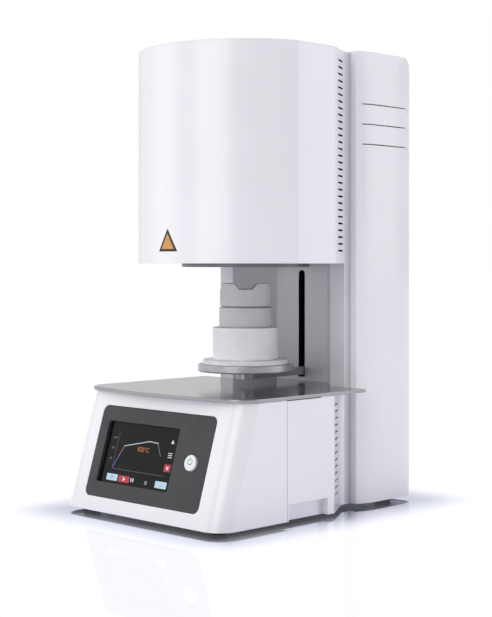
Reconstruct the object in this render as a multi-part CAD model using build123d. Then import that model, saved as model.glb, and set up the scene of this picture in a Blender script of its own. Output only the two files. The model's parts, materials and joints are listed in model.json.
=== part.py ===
from build123d import *
import math
import os

# Bench-top bottom-loading ceramic kiln, millimetres, +Z up, front towards -Y.
# Origin: on the floor, under the vertical axis of the lift table and heating chamber.

# --- overall sizes ---------------------------------------------------------------
FRONT_REACH = 246.4        # lift axis to the front cover's bottom edge
REAR_REACH = 246.4         # lift axis to the tower's rear face
BASE_HALF_WIDTH = 189.5
FOOT_HEIGHT = 6.5
DECK_TOP = 201.9
LOADING_HEIGHT = 206.6     # clear height between the deck and the head
HEAD_HEIGHT = 353.7
TOWER_STEP = 1.9           # tower stands above the head by this much

# --- sheet and wall thicknesses ----------------------------------------------------
COVER_WALL = 2.5
SHEET = 2.0
CASING_WALL = 1.5
SEAM_GAP = 0.6
RUNNING_GAP = 0.05         # radial, for shafts, rods and stems
FREE_GAP = 0.3             # between bodies that only pass each other

# --- base ----------------------------------------------------------------------------
FRONT_SLOPE = math.radians(17.17)    # front cover leans back from the vertical
FRONT_CORNER_R = 35.4
SEAM_Y = -99.9             # seam between front cover and side panel
SIDE_END_Y = 10.2          # where the side turns into the rear chamfer
SIDE_EDGE_R = 8.0
CHAMFER_GAP = 7.3          # from the end of the chamfer back to the pillars
NOTCH_END_Y = -4.5
NOTCH_HEIGHT = 27.0
NOTCH_DEPTH = 11.8
PANEL_REVEAL = 1.2         # shadow gap under the deck
PANEL_REVEAL_END_Y = -20.0
DECK_OVERHANG = 1.4        # past the side panels
DECK_THICKNESS = 6.0
DECK_SETBACK = 34.1        # deck's front edge behind the front cover's bottom edge
DECK_FRONT_BOW = 15.7      # how far the front edge falls back at DECK_BOW_X
DECK_BOW_X = 165.0
DECK_CORNER_R = 46.0
DECK_REAR_LAP = 4.1        # past the pillar fronts, outside the column

# --- control panel, in the plane of the sloped front ---------------------------------
PANEL_CENTRE_X = -2.0
PANEL_WIDTH = 269.2
PANEL_LOW = 24.0
PANEL_HIGH = 174.4
PANEL_CORNER_R = 11.0
PANEL_THICKNESS = 6.0
PANEL_LIP = 6.0
WINDOW_LEFT = -116.0
WINDOW_RIGHT = 55.5
WINDOW_LOW = 48.9
WINDOW_HIGH = 149.4
GLASS_MARGIN = 5.0
GLASS_THICKNESS = 1.5
DISPLAY_DEPTH = 14.0
BOARD_GAP = 6.0
BOARD_T = 1.6
BUTTON_X = 96.9
BUTTON_UP = 98.9
BUTTON_R = 12.6
BUTTON_PROUD = 4.0
BUTTON_TRAVEL = 3.0
BUTTON_STEM_R = 5.0
CAP_SKIRT = 1.5
STEM_DEEP = 18.0
BARREL_RUN = 24.0          # barrel behind the panel
PAN_RIM = 14.0             # height of the base pan's turned-up rim
BRACKET_RUN = 60.0         # length of the cover's side brackets

# --- column and tower ------------------------------------------------------------------
COLUMN_HALF_WIDTH = 147.5
PILLAR_FRONT_Y = 84.4
PILLAR_INNER_X = 116.0
RECESS_HALF_WIDTH = 60.7
RECESS_BACK_Y = 141.5
COLUMN_RETURN = 27.0       # how far the column's sides run back into the tower
SLOT_SIDE_GAP = 1.4        # lift arm to the slot's edge
SLOT_SILL = 5.6            # slot's lower end above the deck
SLOT_HEADROOM = 8.1        # slot's top above the raised arm
COLUMN_SHOW = 16.2         # width of the column's side that shows ahead of the tower
TOWER_LIP = 12.2
TOWER_CHAMFER_X = 9.4
TOWER_CHAMFER_Y = 27.7
TOWER_REAR_RUN = 25.7      # end of the tower's flat side to its rear face
TOWER_FACET_X = 4.7
TOWER_FACET_Y = 13.0
TOWER_CORNER_R = 12.0
TOWER_TOP_R = 30.0
GROOVE_DROP = 87.2         # tower top to the first groove
GROOVE_PITCH = 33.65
GROOVE_COUNT = 3
GROOVE_HEIGHT = 2.0
GROOVE_DEPTH = 1.5
GROOVE_TAIL = 5.0           # each groove turns down by this much at its rear end
GROOVE_SETBACK = 11.4      # behind the tower's front
GROOVE_REAR = 17.9         # ahead of the tower's rear face

# --- head ------------------------------------------------------------------------------
HEAD_R = 181.7             # front of the head, round the lift axis
HEAD_HALF_WIDTH = 173.8
HEAD_SIDE_END_Y = 31.3
HEAD_EDGE_R = 3.0
HEAD_COVER = 2.0
HEAD_FLOOR = 3.0
CASING_FLANGE = 23.5       # width of the rear flanges on the pillars
FLANGE_WIDTH = 33.0
THROAT_GAP = 2.8           # base plate to the throat ring
FLANGE_THICKNESS = 6.0

# --- vent slots --------------------------------------------------------------------------
VENT_PITCH = 11.2
VENT_HEIGHT = 3.0
VENT_LENGTH = 29.0
HEAD_VENT_MARGIN = 16.9    # plain wall kept above and below the row
HEAD_VENT_LOW = 4.1        # lower end of the wall that takes the head's slots
HEAD_VENT_ALONG = 0.57     # centre of the row, as a part of the chamfer's length
BASE_VENT_MARGIN = 15.8
BASE_VENT_LOW = 11.8       # lower end of the wall that takes the base's slots
BASE_VENT_ALONG = 0.33

# --- lift table and ware -------------------------------------------------------------------
DISC_R = 81.2
TABLE_GAP = 24.2           # deck to the table disc at its lowest
DISC_THICKNESS = 12.4
BOSS_R = 17.0
ARM_WIDTH = 12.0
ARM_HEIGHT = 14.0
BASE_PLATE_R = 72.7
BASE_PLATE_T = 8.0
LOWER_PLINTH_R = 56.0
LOWER_PLINTH_H = 54.3
UPPER_PLINTH_R = 45.0
UPPER_PLINTH_H = 33.5
CRUCIBLE_R = 43.9
CRUCIBLE_H = 40.5
CRUCIBLE_WALL = 5.5
CRUCIBLE_FLOOR = 5.0
CRUCIBLE_FOOT_R = 37.8
CRUCIBLE_FOOT_H = 3.4
NOTCH_LOW = 22.0
NOTCH_WIDE = 39.0
NOTCH_DROP = 9.9
NOTCH_TURN = 45.0          # first crucible notch, degrees from the front
CLOSING_GAP = 1.0          # table disc to the throat ring when closed
CRUCIBLE_LIFT = 28.0       # room above the crucible when it is taken off

# --- heating chamber -------------------------------------------------------------------------
INSULATION_R = 134.0
CAN_WALL = 1.5
THROAT_CLEARANCE = 4.0
CHAMBER_STEP = 12.0        # chamber wall behind the throat's wall
LOWER_INSULATION_H = 58.5
CHAMBER_HEADROOM = 9.0     # over the lifted crucible
ROOF_H = 62.0
ELEMENT_WALL_GAP = 11.0    # hairpin to the chamber wall
ELEMENT_LEG_R = 3.0
ELEMENT_BEND_R = 14.0
ELEMENT_COUNT = 4
ELEMENT_LOW_GAP = 14.0     # over the lower insulation
ELEMENT_TOP_H = 50.0       # legs stand above the roof by this much
ELEMENT_HOLE_GAP = 1.0
CLAMP_H = 12.0
PROBE_R = 3.0

# --- lift drive ----------------------------------------------------------------------------------
SCREW_SETBACK = 40.5       # lead screw behind the recess
SCREW_R = 6.0
ROD_X = 38.0
ROD_R = 6.0
BEARING_R = 10.5
BEARING_L = 30.0
CARRIAGE_HALF_X = 54.0
CARRIAGE_HALF_Y = 14.0
CARRIAGE_H = 50.0
NUT_FLANGE_R = 16.0
NUT_FLANGE_T = 6.0
BRACKET_HALF_X = 58.0
BRACKET_T = 12.0
BRACKET_GAP = 30.0         # carriage to bracket at either end of the travel
MAST_T = 3.0
MAST_HALF_X = 74.0
MAST_ABOVE = 20.0
MOTOR_HALF = 28.2
MOTOR_H = 56.0
MOTOR_SHAFT_R = 4.0
COUPLING_R = 12.0
COUPLING_L = 28.0

# --- rear panel ------------------------------------------------------------------------------------
REAR_OPENING_HALF = 138.0
REAR_OPENING_LOW = 24.0
REAR_OPENING_DROP = 64.1   # tower top to the opening
REAR_PANEL_LAP = 8.0
FAN_DROP = 110.0           # top of the opening to the fan's centre
FAN_HALF = 46.0
FAN_DEPTH = 25.0
FAN_BORE_R = 43.5
FAN_HUB_R = 16.0
FAN_BLADES = 7
INLET_X = -70.0
SWITCH_X = 10.0
SOCKET_Z = 70.0
ROCKER_TILT = 6.0
SCREW_HEAD_R = 4.0
SCREW_HEAD_T = 2.0
INLET_HALF_X, INLET_HALF_Z = 14.0, 10.5
SWITCH_HALF_X, SWITCH_HALF_Z = 10.5, 14.0
ROCKER_HALF_X = 7.0
ROCKER_HALF_Z = 10.5
ROCKER_DROP = 5.0          # rocker's pivot behind the rear panel's inner face

# --- feet and base electrics ---------------------------------------------------------------------
FOOT_R = 14.0
FOOT_INSET = 39.5          # feet in from the base's sides
FOOT_FRONT = 34.0          # and from its front and rear edges
REAR_FOOT_INSET = 43.1
CORE_X, CORE_Y = -70.0, 0.0
CORE_W, CORE_D, CORE_H = 112.0, 60.0, 96.0
CORE_LIMB = 19.0
COIL_THICK = 12.0
SINK_X, SINK_Y = 95.0, 0.0
SINK_W, SINK_D, SINK_BASE, SINK_FIN = 90.0, 100.0, 10.0, 30.0

# --- worked-out places -------------------------------------------------------------------------------
FRONT_Y = -FRONT_REACH
REAR_Y = REAR_REACH
BASE_Z = FOOT_HEIGHT
HEAD_BOTTOM = DECK_TOP + LOADING_HEIGHT
HEAD_TOP = HEAD_BOTTOM + HEAD_HEIGHT
TOWER_TOP = HEAD_TOP + TOWER_STEP
DECK_LOW = DECK_TOP - DECK_THICKNESS
DECK_HALF_WIDTH = BASE_HALF_WIDTH + DECK_OVERHANG
DECK_FRONT_Y = FRONT_Y + DECK_SETBACK
DECK_REAR_Y = PILLAR_FRONT_Y + DECK_REAR_LAP
CHAMFER_END_Y = PILLAR_FRONT_Y - CHAMFER_GAP
TOWER_FRONT_Y = PILLAR_FRONT_Y + COLUMN_SHOW
TOWER_FRONT_HALF = COLUMN_HALF_WIDTH + TOWER_LIP
TOWER_HALF_WIDTH = TOWER_FRONT_HALF + TOWER_CHAMFER_X
TOWER_SIDE_START_Y = TOWER_FRONT_Y + TOWER_CHAMFER_Y
TOWER_SIDE_END_Y = REAR_Y - TOWER_REAR_RUN
GROOVE_TOP_Z = TOWER_TOP - GROOVE_DROP
GROOVE_START_Y = TOWER_FRONT_Y + GROOVE_SETBACK
GROOVE_END_Y = REAR_Y - GROOVE_REAR
REAR_OPENING_HIGH = TOWER_TOP - REAR_OPENING_DROP
FAN_Z = REAR_OPENING_HIGH - FAN_DROP
DISC_BOTTOM = DECK_TOP + TABLE_GAP
PLATE_Z = DISC_BOTTOM + DISC_THICKNESS
LIFT_TRAVEL = HEAD_BOTTOM - FLANGE_THICKNESS - CLOSING_GAP - PLATE_Z
SLOT_HALF_WIDTH = ARM_WIDTH / 2 + SLOT_SIDE_GAP
SLOT_BOTTOM = DECK_TOP + SLOT_SILL
SLOT_TOP = DISC_BOTTOM + LIFT_TRAVEL + SLOT_HEADROOM
THROAT_R = BASE_PLATE_R + THROAT_GAP
FLANGE_R = THROAT_R + FLANGE_WIDTH
THROAT_BORE_R = LOWER_PLINTH_R + THROAT_CLEARANCE
CHAMBER_R = THROAT_BORE_R + CHAMBER_STEP
ELEMENT_CIRCLE_R = CHAMBER_R - ELEMENT_WALL_GAP - ELEMENT_LEG_R
SCREW_Y = RECESS_BACK_Y + SCREW_SETBACK
LOWER_PLINTH_Z = PLATE_Z + BASE_PLATE_T
UPPER_PLINTH_Z = LOWER_PLINTH_Z + LOWER_PLINTH_H
CRUCIBLE_Z = UPPER_PLINTH_Z + UPPER_PLINTH_H
CRUCIBLE_TOP = CRUCIBLE_Z + CRUCIBLE_H
HEAD_FLOOR_TOP = HEAD_BOTTOM + HEAD_FLOOR
CHAMBER_LOW = HEAD_FLOOR_TOP + LOWER_INSULATION_H
CHAMBER_TOP = CRUCIBLE_TOP + LIFT_TRAVEL + CRUCIBLE_LIFT + CHAMBER_HEADROOM
ROOF_TOP = CHAMBER_TOP + ROOF_H
CARRIAGE_LOW = DISC_BOTTOM - ARM_HEIGHT / 2 - CARRIAGE_H / 2
CARRIAGE_TOP = CARRIAGE_LOW + CARRIAGE_H
LOWER_BRACKET_Z = CARRIAGE_LOW - NUT_FLANGE_T - BRACKET_GAP - BRACKET_T
UPPER_BRACKET_Z = CARRIAGE_TOP + LIFT_TRAVEL + BRACKET_GAP
MAST_Y = SCREW_Y + CARRIAGE_HALF_Y + 8.0
MOTOR_TOP = LOWER_BRACKET_Z - COUPLING_L - 12.0
PAN_FLOOR = BASE_Z + SHEET
REAR_INNER_Y = REAR_Y - COVER_WALL
REAR_PANEL_OUT = REAR_INNER_Y
REAR_PANEL_IN = REAR_INNER_Y - SHEET
ROCKER_Y = REAR_PANEL_IN - ROCKER_DROP
DISPLAY_BACK = -PANEL_THICKNESS - GLASS_THICKNESS - DISPLAY_DEPTH
BOARD_LEFT = WINDOW_LEFT + 6
BOARD_RIGHT = WINDOW_RIGHT - 6
BOARD_LOW = WINDOW_LOW + 6
BOARD_HIGH = WINDOW_HIGH - 6
BOARD_FRONT = DISPLAY_BACK - BOARD_GAP
BARREL_DEEP = PANEL_THICKNESS + BARREL_RUN
FOOT_PLACES = [(side * x, y) for side in (1, -1) for x, y in (
    (BASE_HALF_WIDTH - FOOT_INSET, FRONT_Y + FOOT_FRONT),
    (TOWER_HALF_WIDTH - REAR_FOOT_INSET, REAR_Y - FOOT_FRONT))]

os.makedirs("parts", exist_ok=True)
written = []


def save(shape, node):
    """Write one node's STEP file."""
    export_step(shape, "parts/" + node + ".step")
    written.append(node)


def block(x0, x1, y0, y1, z0, z1):
    """A box between two corners."""
    return Pos(x0, y0, z0) * Box(x1 - x0, y1 - y0, z1 - z0, align=(Align.MIN, Align.MIN, Align.MIN))


def disc(radius, z0, z1, x=0.0, y=0.0):
    """An upright cylinder between two heights."""
    low = (Align.CENTER, Align.CENTER, Align.MIN)
    return Pos(x, y, z0) * Cylinder(radius, z1 - z0, align=low)


def ring(outer, inner, z0, z1, x=0.0, y=0.0):
    """An upright tube between two heights."""
    return disc(outer, z0, z1, x, y) - disc(inner, z0 - 1, z1 + 1, x, y)


def prism(points, z0, z1):
    """An upright prism on a plan outline."""
    return Pos(0, 0, z0) * extrude(make_face(Polyline(*points, close=True)), z1 - z0)


def side_prism(points, x0, x1):
    """A prism along X on a (y, z) outline."""
    plane = Plane(origin=(x0, 0, 0), x_dir=(0, 1, 0), z_dir=(1, 0, 0))
    return extrude(plane * make_face(Polyline(*points, close=True)), x1 - x0)


def both_sides(shape):
    """A shape and its mirror image across X = 0."""
    return Compound(children=[*shape.solids(), *mirror(shape, about=Plane.YZ).solids()])


def group(*shapes):
    """Separate solids in one node."""
    return Compound(children=[solid for shape in shapes for solid in shape.solids()])


def mirrored(points):
    """Close a right-hand half outline with its mirror image."""
    return points + [(-x, y) for x, y in reversed(points)]


def vent_heights(low, high, margin):
    """Heights of a row of slots, centred on the wall between two heights."""
    count = int((high - low - 2 * margin) / VENT_PITCH) + 1
    first = (low + high - (count - 1) * VENT_PITCH) / 2
    return [first + i * VENT_PITCH for i in range(count)]


def vent_cutter(start, end, along, z):
    """A slot through a chamfered wall that runs from start to end in plan."""
    length = math.dist(start, end)
    x = start[0] + (end[0] - start[0]) * along
    y = start[1] + (end[1] - start[1]) * along
    turn = math.degrees(math.atan2(end[1] - start[1], end[0] - start[0]))
    slot = RectangleRounded(min(VENT_LENGTH, 0.7 * length), VENT_HEIGHT, 0.45 * VENT_HEIGHT)
    cutter = extrude(Plane.XZ * slot, 4 * COVER_WALL, both=True)
    return Pos(x, y, z) * Rot(0, 0, turn) * cutter


# The plane of the sloped front: X across, Y up the slope, Z outwards; origin at its bottom edge.
FRONT_PLANE = Plane(
    origin=(0, FRONT_Y, BASE_Z),
    x_dir=(1, 0, 0),
    z_dir=(0, -math.cos(FRONT_SLOPE), math.sin(FRONT_SLOPE)),
)


def panel_plate(x0, x1, up0, up1, n0, n1, corner=0.0):
    """A plate in the sloped front's plane, between two depths along its normal."""
    width, height = x1 - x0, up1 - up0
    flat = RectangleRounded(width, height, corner) if corner else Rectangle(width, height)
    shape = Pos((x0 + x1) / 2, (up0 + up1) / 2, n0) * extrude(flat, n1 - n0)
    return FRONT_PLANE * shape


def panel_disc(radius, x, up, n0, n1):
    """A cylinder square to the sloped front, between two depths."""
    low = (Align.CENTER, Align.CENTER, Align.MIN)
    return FRONT_PLANE * (Pos(x, up, n0) * Cylinder(radius, n1 - n0, align=low))


# --- base covers ----------------------------------------------------------------------------------


def cover_body(inset, z0, z1, y1):
    """The front cover's outer form, or its inner form when inset."""
    slope = math.tan(FRONT_SLOPE)
    shift = inset / math.cos(FRONT_SLOPE)
    front = [FRONT_Y + shift + slope * (z - BASE_Z) for z in (z0, z1)]
    half = BASE_HALF_WIDTH - inset
    body = side_prism([(front[0], z0), (front[1], z1), (y1, z1), (y1, z0)], -half, half)
    corners = body.edges().filter_by(lambda e: abs(e.center().X) > half - 1 and
                                     e.length > 0.9 * (z1 - z0) and e.center().Y < y1 - 1)
    return fillet(corners, FRONT_CORNER_R - inset)


def make_front_cover():
    outer = cover_body(0, BASE_Z, DECK_LOW, SEAM_Y - SEAM_GAP / 2)
    inner = cover_body(COVER_WALL, BASE_Z - 10, DECK_LOW + 10, SEAM_Y + 10)
    gap = FREE_GAP
    opening = panel_plate(PANEL_CENTRE_X - PANEL_WIDTH / 2 - gap, PANEL_CENTRE_X + PANEL_WIDTH / 2 + gap,
                          PANEL_LOW - gap, PANEL_HIGH + gap, -10, 10, PANEL_CORNER_R + gap)
    return outer - inner - opening


def side_panel_line(inset):
    """Plan of the right-hand side panel's skin, from the seam to the column."""
    turn = math.atan2(CHAMFER_END_Y - SIDE_END_Y, BASE_HALF_WIDTH - COLUMN_HALF_WIDTH)
    bend = inset * math.tan((math.pi / 2 - turn) / 2)
    return [
        (BASE_HALF_WIDTH - inset, SEAM_Y + SEAM_GAP / 2),
        (BASE_HALF_WIDTH - inset, SIDE_END_Y - bend),
        (COLUMN_HALF_WIDTH - inset, CHAMFER_END_Y - bend),
        (COLUMN_HALF_WIDTH - inset, PILLAR_FRONT_Y),
    ]


def make_side_panel():
    skin = prism(side_panel_line(0) + list(reversed(side_panel_line(COVER_WALL))), BASE_Z, DECK_LOW)
    outer_edge = skin.edges().filter_by(Axis.Z).sort_by_distance((BASE_HALF_WIDTH, SIDE_END_Y, 100))[0]
    skin = fillet(outer_edge, SIDE_EDGE_R)
    top = BASE_Z + NOTCH_HEIGHT
    deep = BASE_HALF_WIDTH - NOTCH_DEPTH
    start = SEAM_Y + SEAM_GAP / 2
    pocket = block(deep - COVER_WALL, BASE_HALF_WIDTH, start, NOTCH_END_Y + COVER_WALL,
                   BASE_Z, top + COVER_WALL)
    void = block(deep, BASE_HALF_WIDTH + 5, start + COVER_WALL, NOTCH_END_Y, BASE_Z - 5, top)
    reveal = block(0, BASE_HALF_WIDTH + 5, start - 5, PANEL_REVEAL_END_Y,
                   DECK_LOW - PANEL_REVEAL, DECK_LOW + 5)
    panel = skin + pocket - void - reveal
    for z in vent_heights(BASE_Z + BASE_VENT_LOW, DECK_LOW, BASE_VENT_MARGIN):
        panel -= vent_cutter((BASE_HALF_WIDTH, SIDE_END_Y), (COLUMN_HALF_WIDTH, CHAMFER_END_Y),
                             BASE_VENT_ALONG, z)
    return panel


def make_deck_plate():
    bow = DECK_FRONT_BOW / DECK_BOW_X ** 2
    corner = (DECK_HALF_WIDTH, DECK_FRONT_Y + bow * DECK_HALF_WIDTH ** 2)
    front = ThreePointArc((-corner[0], corner[1]), (0, DECK_FRONT_Y), corner)
    rest = Polyline(
        corner, (DECK_HALF_WIDTH, DECK_REAR_Y), (COLUMN_HALF_WIDTH, DECK_REAR_Y),
        (COLUMN_HALF_WIDTH, PILLAR_FRONT_Y), (PILLAR_INNER_X, PILLAR_FRONT_Y),
        (RECESS_HALF_WIDTH, RECESS_BACK_Y), (-RECESS_HALF_WIDTH, RECESS_BACK_Y),
        (-PILLAR_INNER_X, PILLAR_FRONT_Y), (-COLUMN_HALF_WIDTH, PILLAR_FRONT_Y),
        (-COLUMN_HALF_WIDTH, DECK_REAR_Y), (-DECK_HALF_WIDTH, DECK_REAR_Y), (-corner[0], corner[1]))
    plate = Pos(0, 0, DECK_LOW) * extrude(make_face(front + rest), DECK_THICKNESS)
    fronts = plate.edges().filter_by(Axis.Z).sort_by(Axis.Y)[:2]
    return fillet(fronts, DECK_CORNER_R)


def pan_form(inset, z0):
    """The pan's outer form, or its inner form when inset; its front follows the sloped cover."""
    narrow = BASE_HALF_WIDTH - NOTCH_DEPTH - COVER_WALL
    outline = mirrored([(narrow, FRONT_Y - 10), (narrow, SIDE_END_Y - 8),
                        (COLUMN_HALF_WIDTH - COVER_WALL, CHAMFER_END_Y - 6),
                        (COLUMN_HALF_WIDTH - COVER_WALL, PILLAR_FRONT_Y),
                        (PILLAR_INNER_X, PILLAR_FRONT_Y), (RECESS_HALF_WIDTH, RECESS_BACK_Y)])
    face = make_face(Polyline(*outline, close=True))
    if inset:
        face = offset(face, -inset, kind=Kind.INTERSECTION)
    tray = Pos(0, 0, z0) * extrude(face, PAN_RIM)
    return tray & cover_body(COVER_WALL + inset, BASE_Z, DECK_LOW, REAR_Y)


def make_base_pan():
    return pan_form(0, BASE_Z) - pan_form(SHEET, PAN_FLOOR)


def make_cover_brackets():
    """Angle pieces that tie the front cover's sides to the pan."""
    outer = BASE_HALF_WIDTH - COVER_WALL
    inner = BASE_HALF_WIDTH - NOTCH_DEPTH - COVER_WALL
    rear = SEAM_Y - SEAM_GAP
    foot = block(inner, outer, rear - BRACKET_RUN, rear, BASE_Z, PAN_FLOOR)
    upright = block(outer - SHEET, outer, rear - BRACKET_RUN, rear, BASE_Z, BASE_Z + PAN_RIM)
    return both_sides(foot + upright)


def make_feet():
    feet = []
    for x, y in FOOT_PLACES:
        foot = disc(FOOT_R, 0, FOOT_HEIGHT, x, y)
        foot = chamfer(foot.edges().sort_by(Axis.Z)[0], 1.2)
        feet.append(foot)
    return group(*feet)


# --- control panel ----------------------------------------------------------------------------------


def make_bezel():
    x0 = PANEL_CENTRE_X - PANEL_WIDTH / 2
    x1 = PANEL_CENTRE_X + PANEL_WIDTH / 2
    face = panel_plate(x0, x1, PANEL_LOW, PANEL_HIGH, -PANEL_THICKNESS, 0, PANEL_CORNER_R)
    lip = panel_plate(x0 - PANEL_LIP, x1 + PANEL_LIP, PANEL_LOW - PANEL_LIP, PANEL_HIGH + PANEL_LIP,
                      -PANEL_THICKNESS, -COVER_WALL, PANEL_CORNER_R + PANEL_LIP)
    window = panel_plate(WINDOW_LEFT, WINDOW_RIGHT, WINDOW_LOW, WINDOW_HIGH, -20, 5, 3.0)
    hole = panel_disc(BUTTON_R + FREE_GAP, BUTTON_X, BUTTON_UP, -20, 5)
    return face + lip - window - hole


def make_glass():
    back = -PANEL_THICKNESS - GLASS_THICKNESS
    return panel_plate(WINDOW_LEFT - GLASS_MARGIN, WINDOW_RIGHT + GLASS_MARGIN, WINDOW_LOW - GLASS_MARGIN,
                       WINDOW_HIGH + GLASS_MARGIN, back, -PANEL_THICKNESS, 4.0)


def make_display():
    front = -PANEL_THICKNESS - GLASS_THICKNESS
    frame = panel_plate(WINDOW_LEFT - GLASS_MARGIN, WINDOW_RIGHT + GLASS_MARGIN, WINDOW_LOW - GLASS_MARGIN,
                        WINDOW_HIGH + GLASS_MARGIN, DISPLAY_BACK, front)
    socket = panel_plate(WINDOW_LEFT + 20, WINDOW_LEFT + 60, WINDOW_LOW + 10, WINDOW_LOW + 24,
                         DISPLAY_BACK - 1, DISPLAY_BACK + 4)
    return frame - socket


def make_board_spacers():
    places = [(x, up) for x in (BOARD_LEFT + 5, BOARD_RIGHT - 5) for up in (BOARD_LOW + 5, BOARD_HIGH - 5)]
    return group(*[panel_disc(3.0, x, up, BOARD_FRONT, DISPLAY_BACK) for x, up in places])


def make_board():
    board = panel_plate(BOARD_LEFT, BOARD_RIGHT, BOARD_LOW, BOARD_HIGH, BOARD_FRONT - BOARD_T, BOARD_FRONT)
    chips = [(-60, 60, 14, 14, 3), (-20, 66, 20, 8, 3), (-70, 100, 30, 12, 9), (0, 90, 16, 16, 4), (24, 118, 10, 20, 8)]
    for x, up, wide, tall, high in chips:
        x, up = max(x, BOARD_LEFT + wide / 2 + 3), min(up, BOARD_HIGH - tall / 2 - 3)
        board += panel_plate(x - wide / 2, x + wide / 2, up - tall / 2, up + tall / 2,
                             BOARD_FRONT - BOARD_T - high, BOARD_FRONT - BOARD_T)
    return board


def make_button_cap():
    cap = Pos(BUTTON_X, BUTTON_UP, -CAP_SKIRT) * Cylinder(
        BUTTON_R, CAP_SKIRT + BUTTON_PROUD, align=(Align.CENTER, Align.CENTER, Align.MIN))
    cap = fillet(cap.edges().sort_by(Axis.Z)[-1], 1.6)
    cap = FRONT_PLANE * cap
    return cap + panel_disc(BUTTON_STEM_R, BUTTON_X, BUTTON_UP, -STEM_DEEP, -CAP_SKIRT)


def make_button_barrel():
    barrel = panel_disc(BUTTON_R + 3.0, BUTTON_X, BUTTON_UP, -PANEL_THICKNESS - 5, -PANEL_THICKNESS)
    well = panel_disc(BUTTON_R + FREE_GAP, BUTTON_X, BUTTON_UP, -PANEL_THICKNESS - 2, -PANEL_THICKNESS + 1)
    neck = panel_disc(11.0, BUTTON_X, BUTTON_UP, -BARREL_DEEP, -PANEL_THICKNESS - 4)
    bore = panel_disc(BUTTON_STEM_R + RUNNING_GAP, BUTTON_X, BUTTON_UP, -STEM_DEEP - BUTTON_TRAVEL - 3, 0)
    return barrel + neck - well - bore


# --- electrics in the base ---------------------------------------------------------------------------


def make_transformer_core():
    core = block(CORE_X - CORE_W / 2, CORE_X + CORE_W / 2, CORE_Y - CORE_D / 2, CORE_Y + CORE_D / 2,
                 PAN_FLOOR, PAN_FLOOR + CORE_H)
    window = (CORE_W - 4 * CORE_LIMB) / 2
    for side in (-1, 1):
        middle = CORE_X + side * (CORE_LIMB + window / 2)
        core -= block(middle - window / 2, middle + window / 2, CORE_Y - CORE_D, CORE_Y + CORE_D,
                      PAN_FLOOR + CORE_LIMB, PAN_FLOOR + CORE_H - CORE_LIMB)
    return core


def make_transformer_coil():
    z0 = PAN_FLOOR + CORE_LIMB
    z1 = PAN_FLOOR + CORE_H - CORE_LIMB
    deep = CORE_D / 2 + COIL_THICK
    coil = block(CORE_X - CORE_LIMB - COIL_THICK, CORE_X + CORE_LIMB + COIL_THICK,
                 CORE_Y - deep, CORE_Y + deep, z0, z1)
    coil = fillet(coil.edges().filter_by(Axis.Z), 8)
    return coil - block(CORE_X - CORE_LIMB, CORE_X + CORE_LIMB, CORE_Y - CORE_D / 2, CORE_Y + CORE_D / 2,
                        z0 - 1, z1 + 1)


def make_heat_sink():
    z0 = PAN_FLOOR
    x0, y0 = SINK_X - SINK_W / 2, SINK_Y - SINK_D / 2
    sink = block(x0, x0 + SINK_W, y0, y0 + SINK_D, z0, z0 + SINK_FIN + SINK_BASE)
    fins = 9
    pitch = (SINK_W - 3) / (fins - 1)
    for i in range(fins - 1):
        gap = x0 + i * pitch
        sink -= block(gap + 3, gap + pitch, y0 - 1, y0 + SINK_D + 1, z0 - 1, z0 + SINK_FIN)
    return sink


def make_power_module():
    z0 = PAN_FLOOR + SINK_FIN + SINK_BASE
    body = block(SINK_X - 20, SINK_X + 20, SINK_Y - 46, SINK_Y + 46, z0, z0 + 28)
    for y in (-28, 0, 28):
        body += disc(5, z0 + 28, z0 + 34, SINK_X, SINK_Y + y)
    return body


# --- column, tower and rear panel ------------------------------------------------------------------------


def column_faces():
    """Plan regions behind the column's outer and inner faces."""
    outer = [(COLUMN_HALF_WIDTH, REAR_Y), (COLUMN_HALF_WIDTH, PILLAR_FRONT_Y),
             (PILLAR_INNER_X, PILLAR_FRONT_Y), (RECESS_HALF_WIDTH, RECESS_BACK_Y)]
    face = make_face(Polyline(*mirrored(outer), close=True))
    return face, offset(face, -SHEET, kind=Kind.INTERSECTION)


def column_sheet():
    """The bent sheet of the column, from the pillars' short returns round the recess."""
    face, inner = column_faces()
    high = HEAD_TOP - HEAD_COVER
    sheet = Pos(0, 0, BASE_Z) * extrude(face - inner, high - BASE_Z)
    half = COLUMN_HALF_WIDTH + 5
    sheet -= block(-half, half, RECESS_BACK_Y + SHEET, REAR_Y + 5, 0, high + 5)
    beyond = block(PILLAR_INNER_X, half, PILLAR_FRONT_Y + COLUMN_RETURN, REAR_Y + 5, 0, high + 5)
    return sheet - beyond - mirror(beyond, about=Plane.YZ)


def recess_space():
    """The width of the recess's flat back, where the slotted plate sits between the pillars."""
    return block(-RECESS_HALF_WIDTH, RECESS_HALF_WIDTH, 0, REAR_Y, 0, TOWER_TOP)


def make_column_pillars():
    return column_sheet() - recess_space()


def make_recess_plate():
    """Two flat strips beside the slot, tied together by a sill below it and a head above it."""
    plate = column_sheet() & recess_space()
    round_top = SLOT_TOP - SLOT_HALF_WIDTH
    near, far = RECESS_BACK_Y - 5, RECESS_BACK_Y + SHEET + 5
    passage = block(-SLOT_HALF_WIDTH, SLOT_HALF_WIDTH, near, far, 0, TOWER_TOP)
    sill = plate & block(-SLOT_HALF_WIDTH, SLOT_HALF_WIDTH, near, far, 0, SLOT_BOTTOM)
    head = plate & block(-SLOT_HALF_WIDTH, SLOT_HALF_WIDTH, near, far, round_top, TOWER_TOP)
    head -= Pos(0, RECESS_BACK_Y, round_top) * Rot(90, 0, 0) * Cylinder(SLOT_HALF_WIDTH, 20)
    return group(plate - passage, sill, head)


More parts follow.
